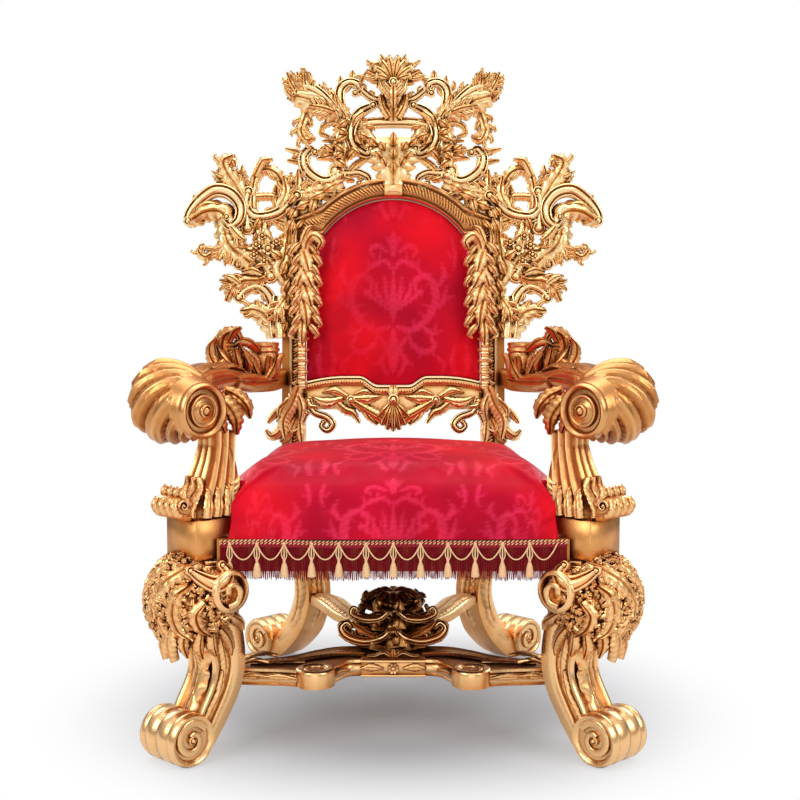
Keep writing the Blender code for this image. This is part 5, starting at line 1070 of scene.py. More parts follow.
def makeArm(side):
    carving = Carving()
    stations = np.array([(0.000, 1.00), (0.010, 1.04), (0.014, 1.00), (0.018, 1.05), (0.028, 1.10), (0.045, 1.18), (0.070, 1.34),
                         (0.100, 1.50), (0.124, 1.56), (0.142, 1.42), (0.151, 1.05)])
    t = np.linspace(0, 1, 80)
    z = 0.012 + (armLook["width"] - 0.012) * t ** 0.9
    size = np.interp(z, stations[:, 0], stations[:, 1])
    turn = np.linspace(0, 2 * np.pi, 156, endpoint=False)[None, :]
    zz = z[:, None]
    phase = armLook["ridges"] * turn / (2 * np.pi) + armLook["twist"] * zz + 0.35 * np.sin(2 * turn + 1.2 + 30 * zz)
    cell = np.mod(phase, 1.0)
    ridge = np.abs(np.sin(np.pi * cell)) ** 0.65
    tip = 0.034 + 0.012 * np.sin(turn - 0.6) + 0.016 * (1 - ridge)
    cover = ease(zz, tip, tip + 0.006)
    fine = 0.5 + 0.5 * np.cos(2 * np.pi * (phase * 3.0))
    notch = 0.5 + 0.5 * np.cos(2 * np.pi * (zz / 0.011 + 1.2 * np.abs(cell - 0.5)))
    bump = cover * (0.0004 + 0.0122 * ridge - 0.0030 * fine * ridge - 0.0016 * notch * (1 - ridge))
    radius = armLook["radius"] * size[:, None] * 0.985 - 0.0065 * cover + bump
    lift = 0.012 * np.minimum(1.0, zz / 0.12)
    grid = np.stack([radius * np.cos(turn), radius * np.sin(turn) + lift, zz + 0 * turn], axis=-1)
    relief = np.where(cover > 0.3, 0.85 * ridge - 0.25 * fine * ridge, 0.62 + 0 * ridge)
    carving.addGrid(grid, relief, armPlane)
    face = [(0.001, 0.002), (0.014, 0.002), (0.017, 0.007), (0.024, 0.007), (0.0255, 0.004), (0.031, 0.003), (0.033, 0.010),
            (0.040, 0.011), (0.0425, 0.003), (0.048, -0.001), (0.0535, 0.003), (0.052, 0.014)]
    turned(carving, face, armPlane, 56)
    rings = ((0.0475, 0.0034, 0.003), (0.0285, 0.0030, 0.005))
    for r, half, height in rings:
        angle = np.linspace(0, 2 * np.pi, 40)
        route = np.stack([r * np.cos(angle), r * np.sin(angle), np.full_like(angle, 0.006)], axis=1)
        scroll(carving, [tuple(k) for k in route], half, height, 0, armPlane, 1.0, 0.006, (0, 0, -1), plainLine, False)
    dome(carving, (0, 0, 0.002), 0.0135, 0.011, (0, 0, -1), armPlane, 24)
    # Outer end: a rosette of leaves
    for i in range(9):
        a = 2 * math.pi * i / 9
        c, s = math.cos(a), math.sin(a)
        leaf(carving, [(0.004 * c, 0.012 + 0.004 * s, 0.1505), (0.030 * c, 0.012 + 0.030 * s, 0.1535),
                       (0.056 * c, 0.012 + 0.056 * s, 0.1475)], [0.004, 0.016, 0.010], 0.004, 0, armPlane, 1.0, 0.011, 0.003,
             (0, 0, 1))
    bar = [(-0.400, -0.340, 0.700), (-0.402, -0.230, 0.722), (-0.376, -0.100, 0.722), (-0.338, 0.040, 0.703),
           (-0.296, 0.150, 0.696), (-0.268, 0.236, 0.700)]
    scroll(carving, bar, [0.029, 0.034, 0.034, 0.031, 0.029, 0.027], [0.025, 0.024, 0.023, 0.023, 0.023, 0.021], 0, worldPlane,
           1.0, 0.005, (0, 0, 1), plainLine, False)
    for knots, widths, depth, front in (
            ([(-0.404, -0.300, 0.738), (-0.402, -0.220, 0.748), (-0.392, -0.140, 0.750), (-0.374, -0.070, 0.742)],
             [0.024, 0.030, 0.028, 0.008], 0.009, (0, 0, 1)),
            ([(-0.378, -0.120, 0.742), (-0.362, -0.050, 0.746), (-0.344, 0.015, 0.734), (-0.332, 0.060, 0.726)],
             [0.018, 0.028, 0.024, 0.006], 0.009, (0, 0, 1)),
            ([(-0.340, 0.070, 0.724), (-0.318, 0.110, 0.722), (-0.292, 0.160, 0.720), (-0.276, 0.215, 0.722)],
             [0.014, 0.026, 0.024, 0.014], 0.007, (0, 0, 1)),
            ([(-0.366, -0.280, 0.716), (-0.366, -0.200, 0.722), (-0.346, -0.110, 0.722), (-0.318, -0.030, 0.712)],
             [0.016, 0.024, 0.020, 0.006], 0.010, (1, 0, 0.2)),
            ([(-0.330, -0.080, 0.714), (-0.308, 0.000, 0.706), (-0.282, 0.080, 0.700), (-0.262, 0.140, 0.700)],
             [0.014, 0.023, 0.018, 0.006], 0.009, (1, 0, 0.2)),
            ([(-0.430, -0.280, 0.716), (-0.430, -0.200, 0.722), (-0.408, -0.090, 0.720), (-0.372, 0.020, 0.706)],
             [0.016, 0.026, 0.022, 0.008], 0.009, (-1, 0, 0.2)),
            ([(-0.372, 0.000, 0.706), (-0.346, 0.070, 0.700), (-0.318, 0.140, 0.696), (-0.296, 0.200, 0.700)],
             [0.014, 0.024, 0.020, 0.008], 0.009, (-1, 0, 0.2)),
            # Leaf scroll that stands on the rear of the arm
            ([(-0.318, 0.050, 0.716), (-0.350, 0.046, 0.735), (-0.374, 0.042, 0.768), (-0.368, 0.036, 0.802),
              (-0.346, 0.028, 0.812), (-0.332, 0.026, 0.798)], [0.020, 0.026, 0.028, 0.022, 0.014, 0.008], 0.014, (0, -1, 0.1)),
            ([(-0.352, 0.030, 0.742), (-0.372, 0.026, 0.760), (-0.384, 0.022, 0.786)], [0.008, 0.013, 0.004], 0.010, (0, -1, 0)),
            ([(-0.334, 0.030, 0.726), (-0.340, 0.022, 0.752), (-0.344, 0.018, 0.780)], [0.008, 0.014, 0.005], 0.009, (0, -1, 0)),
            ([(-0.322, 0.050, 0.720), (-0.318, 0.038, 0.745), (-0.326, 0.030, 0.766)], [0.010, 0.013, 0.004], 0.009, (0, -1, 0)),
            ([(-0.350, 0.060, 0.735), (-0.372, 0.066, 0.766), (-0.366, 0.062, 0.798), (-0.346, 0.050, 0.808)],
             [0.020, 0.024, 0.020, 0.008], 0.012, (0, 1, 0.1)),
            ([(-0.392, 0.010, 0.724), (-0.378, -0.010, 0.742), (-0.358, -0.020, 0.752)], [0.012, 0.018, 0.006], 0.010, (0, -0.6, 1)),
            # Leaves that fill the corner between roll, bar and post
            ([(-0.344, -0.346, 0.706), (-0.322, -0.334, 0.690), (-0.307, -0.324, 0.664), (-0.305, -0.318, 0.632)],
             [0.012, 0.021, 0.020, 0.006], 0.012, (0.1, -1, 0)),
            ([(-0.330, -0.312, 0.716), (-0.306, -0.302, 0.702), (-0.288, -0.296, 0.682), (-0.282, -0.292, 0.660)],
             [0.012, 0.020, 0.016, 0.005], 0.011, (0.1, -1, 0.2)),
            ([(-0.350, -0.352, 0.690), (-0.336, -0.342, 0.664), (-0.326, -0.332, 0.638)], [0.010, 0.018, 0.006], 0.012, (0, -1, -0.1))):
        leaf(carving, knots, widths, depth, 0, worldPlane, 1.0, 0.012, 0.0022, front, 0.40)
    cup = shifted(worldPlane, (-0.290, 0.120, 0.0))
    turned(carving, denseProfile([(0.010, 0.690), (0.022, 0.704), (0.029, 0.722), (0.034, 0.745), (0.0345, 0.758), (0.031, 0.764),
                                  (0.0355, 0.767), (0.0355, 0.772), (0.031, 0.775), (0.034, 0.779), (0.034, 0.786), (0.010, 0.787)],
                                 40), cup, 44)
    for i in range(8):
        a = 2 * math.pi * (i + 0.5) / 8
        c, s = math.cos(a), math.sin(a)
        leaf(carving, [(-0.290 + 0.024 * c, 0.120 + 0.024 * s, 0.704), (-0.290 + 0.033 * c, 0.120 + 0.033 * s, 0.726),
                       (-0.290 + 0.038 * c, 0.120 + 0.038 * s, 0.748), (-0.290 + 0.044 * c, 0.120 + 0.044 * s, 0.760)],
             [0.005, 0.012, 0.010, 0.003], 0.006, 0, worldPlane, 1.0, 0.009, 0.002, (c, s, 0.1))
    for knots, widths, front in (
            ([(-0.300, 0.080, 0.772), (-0.318, 0.066, 0.788), (-0.338, 0.056, 0.792), (-0.352, 0.050, 0.780)],
             [0.010, 0.014, 0.012, 0.004], (0, -0.8, 0.5)),
            ([(-0.300, 0.070, 0.716), (-0.312, 0.058, 0.742), (-0.330, 0.050, 0.768), (-0.338, 0.046, 0.786)],
             [0.010, 0.015, 0.012, 0.004], (0.1, -1, 0.2)),
            ([(-0.366, 0.020, 0.728), (-0.392, 0.014, 0.752), (-0.396, 0.012, 0.782), (-0.384, 0.012, 0.800)],
             [0.010, 0.015, 0.012, 0.004], (-0.2, -1, 0.2)),
            ([(-0.356, 0.024, 0.796), (-0.344, 0.018, 0.816), (-0.330, 0.016, 0.824)], [0.008, 0.011, 0.004], (0, -1, 0.2)),
            ([(-0.284, 0.080, 0.704), (-0.270, 0.090, 0.726), (-0.262, 0.100, 0.752)], [0.010, 0.013, 0.004], (0.4, -1, 0.2))):
        leaf(carving, knots, widths, 0.009, 0, worldPlane, 1.0, 0.009, 0.002, front, 0.38)
    body = carving.build("armCarving_" + side, side == "right")
    body.data.materials.append(goldDeep)
    handOver(body, "arm_" + side)


# Rear legs
def makeRearLeg(side):
    carving = Carving()
    knots = [(-0.297, 0.394, 0.014), (-0.262, 0.359, 0.032), (-0.218, 0.310, 0.094), (-0.196, 0.276, 0.170),
             (-0.200, 0.262, 0.240), (-0.222, 0.236, 0.320), (-0.236, 0.205, 0.383)]
    scroll(carving, knots, [0.036, 0.038, 0.040, 0.034, 0.033, 0.036, 0.032], [0.012, 0.026, 0.032, 0.033, 0.033, 0.034, 0.030], 0,
           worldPlane, 1.0, 0.006, (-0.7, 0.7, 0.3), plainLine, False)
    footRoll(carving, 0.047, 0.049, shifted(rearPlane, (0, 0.0463, 0)))
    block(carving, (-0.269, 0.172, 0.363), (-0.203, 0.238, 0.434), worldPlane, 0.002)
    for points, widths, front in (
            ([(-0.214, 0.224, 0.350), (-0.196, 0.218, 0.300), (-0.188, 0.232, 0.250), (-0.184, 0.246, 0.210)],
             [0.018, 0.022, 0.020, 0.006], (0.4, -0.9, 0)),
            ([(-0.196, 0.238, 0.214), (-0.190, 0.254, 0.170), (-0.196, 0.272, 0.120), (-0.214, 0.292, 0.084)],
             [0.014, 0.020, 0.018, 0.006], (0.4, -0.9, 0)),
            ([(-0.250, 0.232, 0.350), (-0.246, 0.250, 0.300), (-0.232, 0.276, 0.240), (-0.226, 0.292, 0.190)],
             [0.018, 0.022, 0.020, 0.006], (-0.9, 0.3, 0)),
            ([(-0.232, 0.314, 0.106), (-0.250, 0.336, 0.078), (-0.268, 0.350, 0.066)], [0.014, 0.016, 0.005], (0.3, -0.6, 0.7))):
        leaf(carving, points, widths, 0.010, 0, worldPlane, 1.0, 0.012, 0.0022, front)
    for outX, outY in ((0.707, -0.707), (-0.707, -0.707)):
        for points, widths in (
                ([(-0.252, 0.346, 0.056), (-0.226, 0.319, 0.086), (-0.206, 0.291, 0.132), (-0.196, 0.276, 0.178)],
                 [0.012, 0.024, 0.023, 0.005]),
                ([(-0.201, 0.282, 0.148), (-0.197, 0.270, 0.190), (-0.202, 0.259, 0.236), (-0.214, 0.247, 0.282)],
                 [0.012, 0.023, 0.020, 0.005])):
            route = [(x + 0.032 * outX, y + 0.032 * outY, z) for x, y, z in points]
            leaf(carving, route, widths, 0.009, 0, worldPlane, 1.0, 0.017, 0.0022, (outX, outY, 0.1), 0.34)
    body = carving.build("rearLegCarving_" + side, side == "right")
    body.data.materials.append(gold)
    handOver(body, "rear_leg_" + side)


# Stretchers and their boss
def makeFrontStretcher():
    carving = Carving()
    low, high = 0.120, 0.154
    front = routeOf([(0.0, -0.226), (0.085, -0.222), (0.112, -0.258), (0.137, -0.296), (0.157, -0.309), (0.182, -0.302),
                     (0.216, -0.292), (0.290, -0.284), (0.338, -0.279)], 10)[:, :2]
    rear = routeOf([(0.0, -0.112), (0.105, -0.113), (0.160, -0.142), (0.216, -0.190), (0.290, -0.216), (0.338, -0.226)], 16)[:, :2]
    where = np.linspace(0, 0.338, 90)
    frontY = np.interp(where, front[:, 0], front[:, 1])
    rearY = np.interp(where, rear[:, 0], rear[:, 1])
    x = np.concatenate([-where[::-1], where[1:]])
    frontY = np.concatenate([frontY[::-1], frontY[1:]])
    rearY = np.concatenate([rearY[::-1], rearY[1:]])
    section = [(0.0, 0.0, low, 0.5), (0.004, 0.0, low + 0.004, 0.9), (0.0, 0.0, low + 0.010, 0.9), (0.0, 0.0, high - 0.012, 0.6),
               (0.005, 0.0, high - 0.009, 0.1), (0.001, 0.0, high - 0.006, 0.9), (0.002, 0.0, high - 0.001, 1.0),
               (0.006, 0.0, high, 0.9), (0.012, 0.0, high - 0.002, 0.2), (0.0, 0.006, high - 0.002, 0.2), (0.0, 0.002, high, 0.8),
               (0.0, 0.0, low, 0.4)]
    grid = np.array([[(xi, f + a if not b and k != len(section) - 1 and k != 9 and k != 10 else r - b, z)
                      for k, (a, b, z, _) in enumerate(section)] for xi, f, r in zip(x, frontY, rearY)])
    carving.addGrid(grid, np.tile([s[3] for s in section], (len(grid), 1)))
    for side in (-1, 1):
        # Loop with its inner curl
        centre = (side * 0.157, -0.282)
        angle = np.linspace(0.35, 2 * np.pi + 0.35, 30)
        ring = [(centre[0] + 0.0315 * math.cos(a), centre[1] + 0.0315 * math.sin(a), 0.137) for a in angle]
        scroll(carving, ring, 0.0085, 0.0185, 0, worldPlane, 1.0, 0.004, (0, 0, 1), plainLine, False)
        angle = np.linspace(0, 1.6 * np.pi, 16)
        curl = [(centre[0] - side * (0.026 - 0.011 * a / angle[-1]) * math.cos(a),
                 centre[1] + (0.026 - 0.011 * a / angle[-1]) * math.sin(a), 0.150) for a in angle]
        scroll(carving, curl, 0.0045, 0.004, 0, worldPlane, 1.0, 0.003, (0, 0, 1), plainLine, True)
        for knots, widths in (
                ([(0.020, -0.2265, 0.137), (0.045, -0.2275, 0.140), (0.068, -0.226, 0.137)], [0.004, 0.011, 0.003]),
                ([(0.190, -0.3010, 0.137), (0.230, -0.2920, 0.139), (0.275, -0.2870, 0.136)], [0.004, 0.009, 0.003]),
                ([(0.240, -0.2900, 0.137), (0.280, -0.2860, 0.139), (0.322, -0.2820, 0.136)], [0.004, 0.009, 0.003]),
                ([(0.090, -0.2380, 0.137), (0.108, -0.2580, 0.139), (0.126, -0.2840, 0.136)], [0.004, 0.009, 0.003])):
            leaf(carving, [(side * k[0], k[1], k[2]) for k in knots], widths, 0.004, 0, worldPlane, 1.0, 0.010, 0.0022, (0, -1, 0))
        for knots, widths in (
                ([(0.060, -0.190, 0.156), (0.110, -0.180, 0.157), (0.160, -0.200, 0.157), (0.200, -0.235, 0.156)],
                 [0.008, 0.018, 0.018, 0.004]),
                ([(0.180, -0.240, 0.156), (0.230, -0.240, 0.157), (0.290, -0.250, 0.156)], [0.006, 0.015, 0.004]),
                ([(0.330, -0.262, 0.160), (0.296, -0.252, 0.170), (0.262, -0.240, 0.174), (0.236, -0.232, 0.166)],
                 [0.008, 0.013, 0.013, 0.004]),
                ([(0.306, -0.262, 0.158), (0.278, -0.262, 0.167), (0.252, -0.262, 0.160)], [0.006, 0.010, 0.003])):
            leaf(carving, [(side * k[0], k[1], k[2]) for k in knots], widths, 0.004, 0, worldPlane, 1.0, 0.012, 0.0024, (0, 0, 1))
        # Cresting on the plate
        scroll(carving, [(side * 0.006, -0.209, 0.158), (side * 0.020, -0.209, 0.166), (side * 0.036, -0.209, 0.160),
                         (side * 0.050, -0.209, 0.159)], [0.003, 0.0038, 0.0036, 0.0028], 0.006, 0, worldPlane, 1.0, 0.0026,
               (0, -1, 0))
        leaf(carving, [(side * 0.004, -0.211, 0.157), (side * 0.013, -0.211, 0.168), (side * 0.026, -0.211, 0.171)],
             [0.003, 0.005, 0.002], 0.005, 0, worldPlane, 1.0, 0.006, 0.0018, (0, -1, 0))
    leaf(carving, [(0, -0.212, 0.156), (0, -0.213, 0.166), (0, -0.210, 0.1725)], [0.005, 0.009, 0.003], 0.006, 0, worldPlane, 1.0,
         0.006, 0.0018, (0, -1, 0))
    block(carving, (-0.066, -0.2265, 0.119), (0.066, -0.195, 0.1565), worldPlane, 0.002)
    for level in (0.1225, 0.1530):
        scroll(carving, [(-0.066, -0.2275, level), (0, -0.2285, level), (0.066, -0.2275, level)], 0.0026, 0.003, 0, worldPlane, 1.0,
               0.01, (0, -1, 0), plainLine, False)
    blossom(carving, (0, 0, 0), 0.0125, 0.006, planeMatrix((0, -0.229, 0.138), (1, 0, 0), (0, 0, 1)), 8)
    body = carving.build("frontStretcherCarving")
    body.data.materials.append(gold)
    handOver(body, "stretcher_front")


def makeBoss():
    carving = Carving()
    low = 0.1543
    core = shifted(worldPlane, (0, -0.075, low))
    turned(carving, denseProfile([(0.084, 0.0), (0.080, 0.022), (0.060, 0.040), (0.046, 0.062), (0.044, 0.076), (0.054, 0.092),
                                  (0.040, 0.104), (0.012, 0.108)], 40), core, 60, 12, 0.10, 14)
    for tier, (count, start, reach, rise, top, size) in enumerate(((13, 0.066, 0.108, 0.006, 0.030, 0.020),
                                                                   (11, 0.050, 0.086, 0.040, 0.060, 0.018),
                                                                   (9, 0.036, 0.066, 0.072, 0.096, 0.016))):
        for i in range(count):
            a = 2 * math.pi * (i + 0.5 * (tier % 2)) / count
            c, s = math.cos(a), math.sin(a)
            route = [(start * c, -0.075 + start * s, low + rise), (0.5 * (start + reach) * 1.08 * c,
                     -0.075 + 0.5 * (start + reach) * 1.08 * s, low + 0.5 * (rise + top) - 0.004),
                     (reach * c, -0.075 + 0.86 * reach * s, low + top), (reach * 0.88 * c, -0.075 + 0.8 * reach * s, low + top + 0.008)]
            leaf(carving, route, [size * 0.5, size, size * 0.8, size * 0.2], 0.006, 0, worldPlane, 1.0, 0.010, 0.0026,
                 (0.5 * c, 0.5 * s, 1))
    bright = Carving()
    for side in (-1, 1):
        scroll(bright, [(side * 0.010, -0.160, 0.196), (side * 0.026, -0.163, 0.184), (side * 0.060, -0.163, 0.177),
                        (side * 0.096, -0.158, 0.186), (side * 0.109, -0.154, 0.203), (side * 0.098, -0.152, 0.214),
                        (side * 0.088, -0.153, 0.207)], [0.006, 0.008, 0.010, 0.010, 0.008, 0.006, 0.005], 0.010, 0, worldPlane, 1.0,
               0.003, (0, -1, 0.3))
        scroll(bright, [(side * 0.012, -0.146, 0.234), (side * 0.030, -0.150, 0.222), (side * 0.062, -0.148, 0.220),
                        (side * 0.088, -0.142, 0.230), (side * 0.084, -0.140, 0.243), (side * 0.074, -0.141, 0.238)],
               [0.005, 0.007, 0.008, 0.007, 0.005, 0.004], 0.008, 0, worldPlane, 1.0, 0.003, (0, -1, 0.3))
        leaf(bright, [(side * 0.040, -0.166, 0.190), (side * 0.066, -0.168, 0.202), (side * 0.086, -0.164, 0.218)],
             [0.005, 0.009, 0.003], 0.007, 0, worldPlane, 1.0, 0.008, 0.002, (0, -1, 0.3))
        scroll(carving, [(side * 0.012, -0.146, low + 0.024), (side * 0.044, -0.152, low + 0.032), (side * 0.078, -0.138, low + 0.018),
                         (side * 0.102, -0.118, low + 0.026), (side * 0.112, -0.104, low + 0.042), (side * 0.098, -0.098, low + 0.048)],
               [0.006, 0.008, 0.009, 0.008, 0.007, 0.005], 0.008, 0, worldPlane, 1.0, 0.003, (0, -1, 0.3))
        scroll(carving, [(side * 0.006, -0.130, low + 0.062), (side * 0.028, -0.136, low + 0.074), (side * 0.052, -0.124, low + 0.064),
                         (side * 0.074, -0.108, low + 0.070), (side * 0.070, -0.104, low + 0.084)],
               [0.005, 0.007, 0.008, 0.006, 0.004], 0.007, 0, worldPlane, 1.0, 0.003, (0, -1, 0.3))
        leaf(carving, [(side * 0.030, -0.140, low + 0.030), (side * 0.060, -0.146, low + 0.046), (side * 0.090, -0.128, low + 0.052)],
             [0.006, 0.010, 0.003], 0.007, 0, worldPlane, 1.0, 0.008, 0.002, (0, -1, 0.3))
    blossom(carving, (0, 0, 0), 0.018, 0.010, planeMatrix((0, -0.150, low + 0.040), (1, 0, 0), (0, 0.25, 1)), 7)
    for i in range(10):
        a = 2 * math.pi * (i + 0.5) / 10
        c, s = math.cos(a), math.sin(a)
        leaf(carving, [(0.008 * c, -0.075 + 0.008 * s, low + 0.104), (0.032 * c, -0.075 + 0.032 * s, low + 0.109),
                       (0.056 * c, -0.075 + 0.056 * s, low + 0.098), (0.060 * c, -0.075 + 0.060 * s, low + 0.104)],
             [0.004, 0.012, 0.011, 0.004], 0.006, 0, worldPlane, 1.0, 0.009, 0.0022, (0.2 * c, 0.2 * s, 1))
    body = carving.build("stretcherBossCarving")
    body.data.materials.append(goldDark)
    scrolls = bright.build("stretcherBossScrolls")
    scrolls.data.materials.append(gold)
    handOver(body, "stretcher_boss")
    handOver(scrolls, "stretcher_boss")


def makeCrossArm(side):
    carving = Carving()
    low = 0.158
    knots = [(-0.068, -0.010, low + 0.019), (-0.105, 0.050, low + 0.024), (-0.140, 0.130, low + 0.030),
             (-0.165, 0.215, low + 0.020), (-0.180, 0.258, low + 0.014)]
    scroll(carving, knots, [0.022, 0.030, 0.032, 0.028, 0.020], [0.012, 0.014, 0.015, 0.014, 0.012], 0, worldPlane, 1.0, 0.005,
           (0, 0, 1), scrollLine, False)
    leaf(carving, knots, [0.016, 0.030, 0.032, 0.026, 0.012], [0.009, 0.015, 0.015, 0.013, 0.009], 0.003, worldPlane, 1.0, 0.015,
         0.0026)
    body = carving.build("stretcherArmCarving_" + side, side == "right")
    body.data.materials.append(goldBrightened)
    handOver(body, "stretcher_" + side)


# Damask: the figure is drawn as filled scrolls and leaves, and read at each point of the cloth
damaskLook = {"ground": "#BB062A", "figure": "#EA3058", "scarlet": "#DE0E18", "shadow": "#6C0216",
              "lining": "#2C1E16"}


def motifField(x, y):
    u = np.abs(x)
    field = np.full_like(x, 9.0)

    def stroke(points, widths, perSpan=10):
        nonlocal field
        route = routeOf(points, perSpan)[:, :2]
        size = spread(widths, len(route))
        for (px, py), half in zip(route, size):
            field = np.minimum(field, np.hypot(u - px, y - py) - half)

    # Vase, palmette, two big acanthus scrolls and their shoots, in units of the repeat
    stroke([(0.0, -0.40), (0.0, -0.28), (0.0, -0.14)], [0.02, 0.05, 0.015])
    stroke([(0.05, -0.42), (0.09, -0.34), (0.05, -0.26), (0.09, -0.20)], [0.016, 0.014, 0.012, 0.016])
    stroke([(0.0, -0.08), (0.0, 0.06), (0.0, 0.20)], [0.012, 0.034, 0.008])
    for lean, reach in ((0.05, 0.20), (0.11, 0.17), (0.17, 0.12)):
        stroke([(0.02, -0.02), (lean, 0.08), (lean * 1.25, reach)], [0.008, 0.018, 0.006])
    stroke([(0.03, -0.12), (0.14, -0.14), (0.26, -0.06), (0.32, 0.08), (0.26, 0.20), (0.17, 0.18), (0.17, 0.11), (0.21, 0.10)],
           [0.014, 0.020, 0.028, 0.030, 0.024, 0.018, 0.014, 0.018])
    stroke([(0.28, -0.02), (0.37, 0.04), (0.40, 0.14)], [0.012, 0.022, 0.005])
    stroke([(0.31, 0.12), (0.38, 0.20), (0.36, 0.29)], [0.012, 0.020, 0.005])
    stroke([(0.20, -0.10), (0.28, -0.16), (0.36, -0.15)], [0.010, 0.020, 0.005])
    stroke([(0.10, -0.14), (0.15, -0.24), (0.25, -0.28), (0.31, -0.24), (0.28, -0.19)], [0.010, 0.018, 0.022, 0.016, 0.012])
    stroke([(0.22, 0.22), (0.14, 0.28), (0.06, 0.30), (0.02, 0.26)], [0.010, 0.020, 0.014, 0.010])
    stroke([(0.0, 0.34), (0.0, 0.42), (0.0, 0.48)], [0.014, 0.040, 0.010])
    stroke([(0.05, 0.36), (0.12, 0.40), (0.17, 0.37), (0.15, 0.33)], [0.012, 0.016, 0.014, 0.010])
    stroke([(0.44, 0.44), (0.46, 0.34), (0.45, 0.24)], [0.012, 0.020, 0.005])
    stroke([(0.46, -0.44), (0.44, -0.34), (0.46, -0.24)], [0.012, 0.022, 0.005])
    stroke([(0.36, -0.44), (0.38, -0.36), (0.33, -0.32)], [0.010, 0.016, 0.008])
    for u0, v0, u1, v1, size in ((0.30, 0.00, 0.23, 0.02, 0.011), (0.33, 0.10, 0.27, 0.09, 0.011), (0.29, 0.18, 0.25, 0.14, 0.010),
                                 (0.16, -0.13, 0.15, -0.08, 0.010), (0.24, -0.08, 0.20, -0.03, 0.011), (0.10, 0.30, 0.10, 0.35, 0.010),
                                 (0.17, 0.26, 0.20, 0.31, 0.010), (0.08, -0.34, 0.15, -0.36, 0.011), (0.07, -0.27, 0.02, -0.22, 0.009),
                                 (0.20, -0.27, 0.20, -0.33, 0.011), (0.27, -0.27, 0.33, -0.31, 0.010), (0.02, 0.42, 0.07, 0.46, 0.010),
                                 (0.40, 0.06, 0.45, 0.08, 0.009), (0.38, 0.22, 0.43, 0.20, 0.009), (0.44, 0.32, 0.40, 0.36, 0.009),
                                 (0.30, -0.15, 0.33, -0.09, 0.009), (0.05, 0.06, 0.08, 0.13, 0.008), (0.0, 0.22, 0.0, 0.28, 0.012)):
        stroke([(u0, v0), ((u0 + u1) / 2, (v0 + v1) / 2), (u1, v1)], [size, size * 0.9, size * 0.3], 6)
    return field


def drawMotif():
    count = 240
    x, y = np.meshgrid((np.arange(count) + 0.5) / count - 0.5, (np.arange(count) + 0.5) / count - 0.5)
    field = motifField(x, y)
    teeth = 0.009 * np.sin(120 * (np.abs(x) * 0.8 + y)) * np.sin(100 * (y - np.abs(x) * 0.6))
    veins = 0.5 + 0.5 * np.sin(150 * (np.abs(x) * 0.6 + y) + 30 * field)
    return (1 - ease(field + teeth, -0.006, 0.008)) * (0.50 + 0.40 * veins * ease(-field, 0.0, 0.012) + 0.1)


motif = drawMotif()


def motifAt(x, y):
    count = len(motif)
    fx, fy = np.mod(x, 1.0) * count - 0.5, np.mod(y, 1.0) * count - 0.5
    ix, iy = np.floor(fx).astype(int), np.floor(fy).astype(int)
    tx, ty = fx - ix, fy - iy
    a, b = motif[iy % count, ix % count], motif[iy % count, (ix + 1) % count]
    c, d = motif[(iy + 1) % count, ix % count], motif[(iy + 1) % count, (ix + 1) % count]
    return (a * (1 - tx) + b * tx) * (1 - ty) + (c * (1 - tx) + d * tx) * ty


def damaskSilk():
    # Silk damask: figure in bright satin, ground in duller weave, a pale sheen where it turns away
    material, tree, shader = newMaterial("crimsonSilkDamask", damaskLook["ground"])
    figure = addNode(tree, "ShaderNodeAttribute", {"attribute_name": "motif"}).outputs["Fac"]
    place = addNode(tree, "ShaderNodeTexCoord").outputs["Object"]
    shadeNoise = addNode(tree, "ShaderNodeTexNoise", None, {"Vector": place, "Scale": 9.0, "Detail": 2.0})
    base = addNode(tree, "ShaderNodeMix", {"data_type": "RGBA"},
                   {"Factor": figure, 6: linear(damaskLook["ground"]), 7: linear(damaskLook["figure"])})
    # Painted shade: noise patches mix the silk colour towards the shadow colour in random places
    depth = addNode(tree, "ShaderNodeMapRange", None, {"Value": shadeNoise.outputs["Fac"], "From Min": 0.35, "From Max": 0.7,
                                                       "To Min": 0.58, "To Max": 1.0})
    patch = addNode(tree, "ShaderNodeTexNoise", None, {"Vector": place, "Scale": 4.5, "Detail": 1.0})
    warmth = addNode(tree, "ShaderNodeMapRange", None, {"Value": patch.outputs["Fac"], "From Min": 0.42, "From Max": 0.66,
                                                        "To Min": 0.0, "To Max": 0.75})
    warm = addNode(tree, "ShaderNodeMix", {"data_type": "RGBA"},
                   {"Factor": warmth.outputs["Result"], 6: base.outputs[2], 7: linear(damaskLook["scarlet"])})
    tint = addNode(tree, "ShaderNodeMix", {"data_type": "RGBA"},
                   {"Factor": depth.outputs["Result"], 6: linear(damaskLook["shadow"]), 7: warm.outputs[2]})
    above = addNode(tree, "ShaderNodeMapRange", None, {"Value": figure, "From Min": -0.9, "From Max": -0.4})
    lined = addNode(tree, "ShaderNodeMix", {"data_type": "RGBA"},
                    {"Factor": above.outputs["Result"], 6: linear(damaskLook["lining"]), 7: tint.outputs[2]})
    tree.links.new(lined.outputs[2], shader.inputs["Base Color"])
    rough = addNode(tree, "ShaderNodeMapRange", None, {"Value": figure, "To Min": 0.52, "To Max": 0.30})
    tree.links.new(rough.outputs["Result"], shader.inputs["Roughness"])
    shader.inputs["Sheen Weight"].default_value = 0.24
    shader.inputs["Sheen Roughness"].default_value = 0.35
    shader.inputs["Sheen Tint"].default_value = linear("#FF5A72")
    shader.inputs["Specular IOR Level"].default_value = 0.22
    shader.inputs["Specular Tint"].default_value = linear("#FF8A98")
    weave = addNode(tree, "ShaderNodeTexNoise", None, {"Vector": place, "Scale": 900.0, "Detail": 1.0})
    raised = addNode(tree, "ShaderNodeMath", {"operation": "MULTIPLY_ADD"}, {0: figure, 1: 1.6, 2: weave.outputs["Fac"]})
    bump = addNode(tree, "ShaderNodeBump", None, {"Height": raised.outputs[0], "Strength": 0.18, "Distance": 0.0008})
    tree.links.new(bump.outputs["Normal"], shader.inputs["Normal"])
    return material


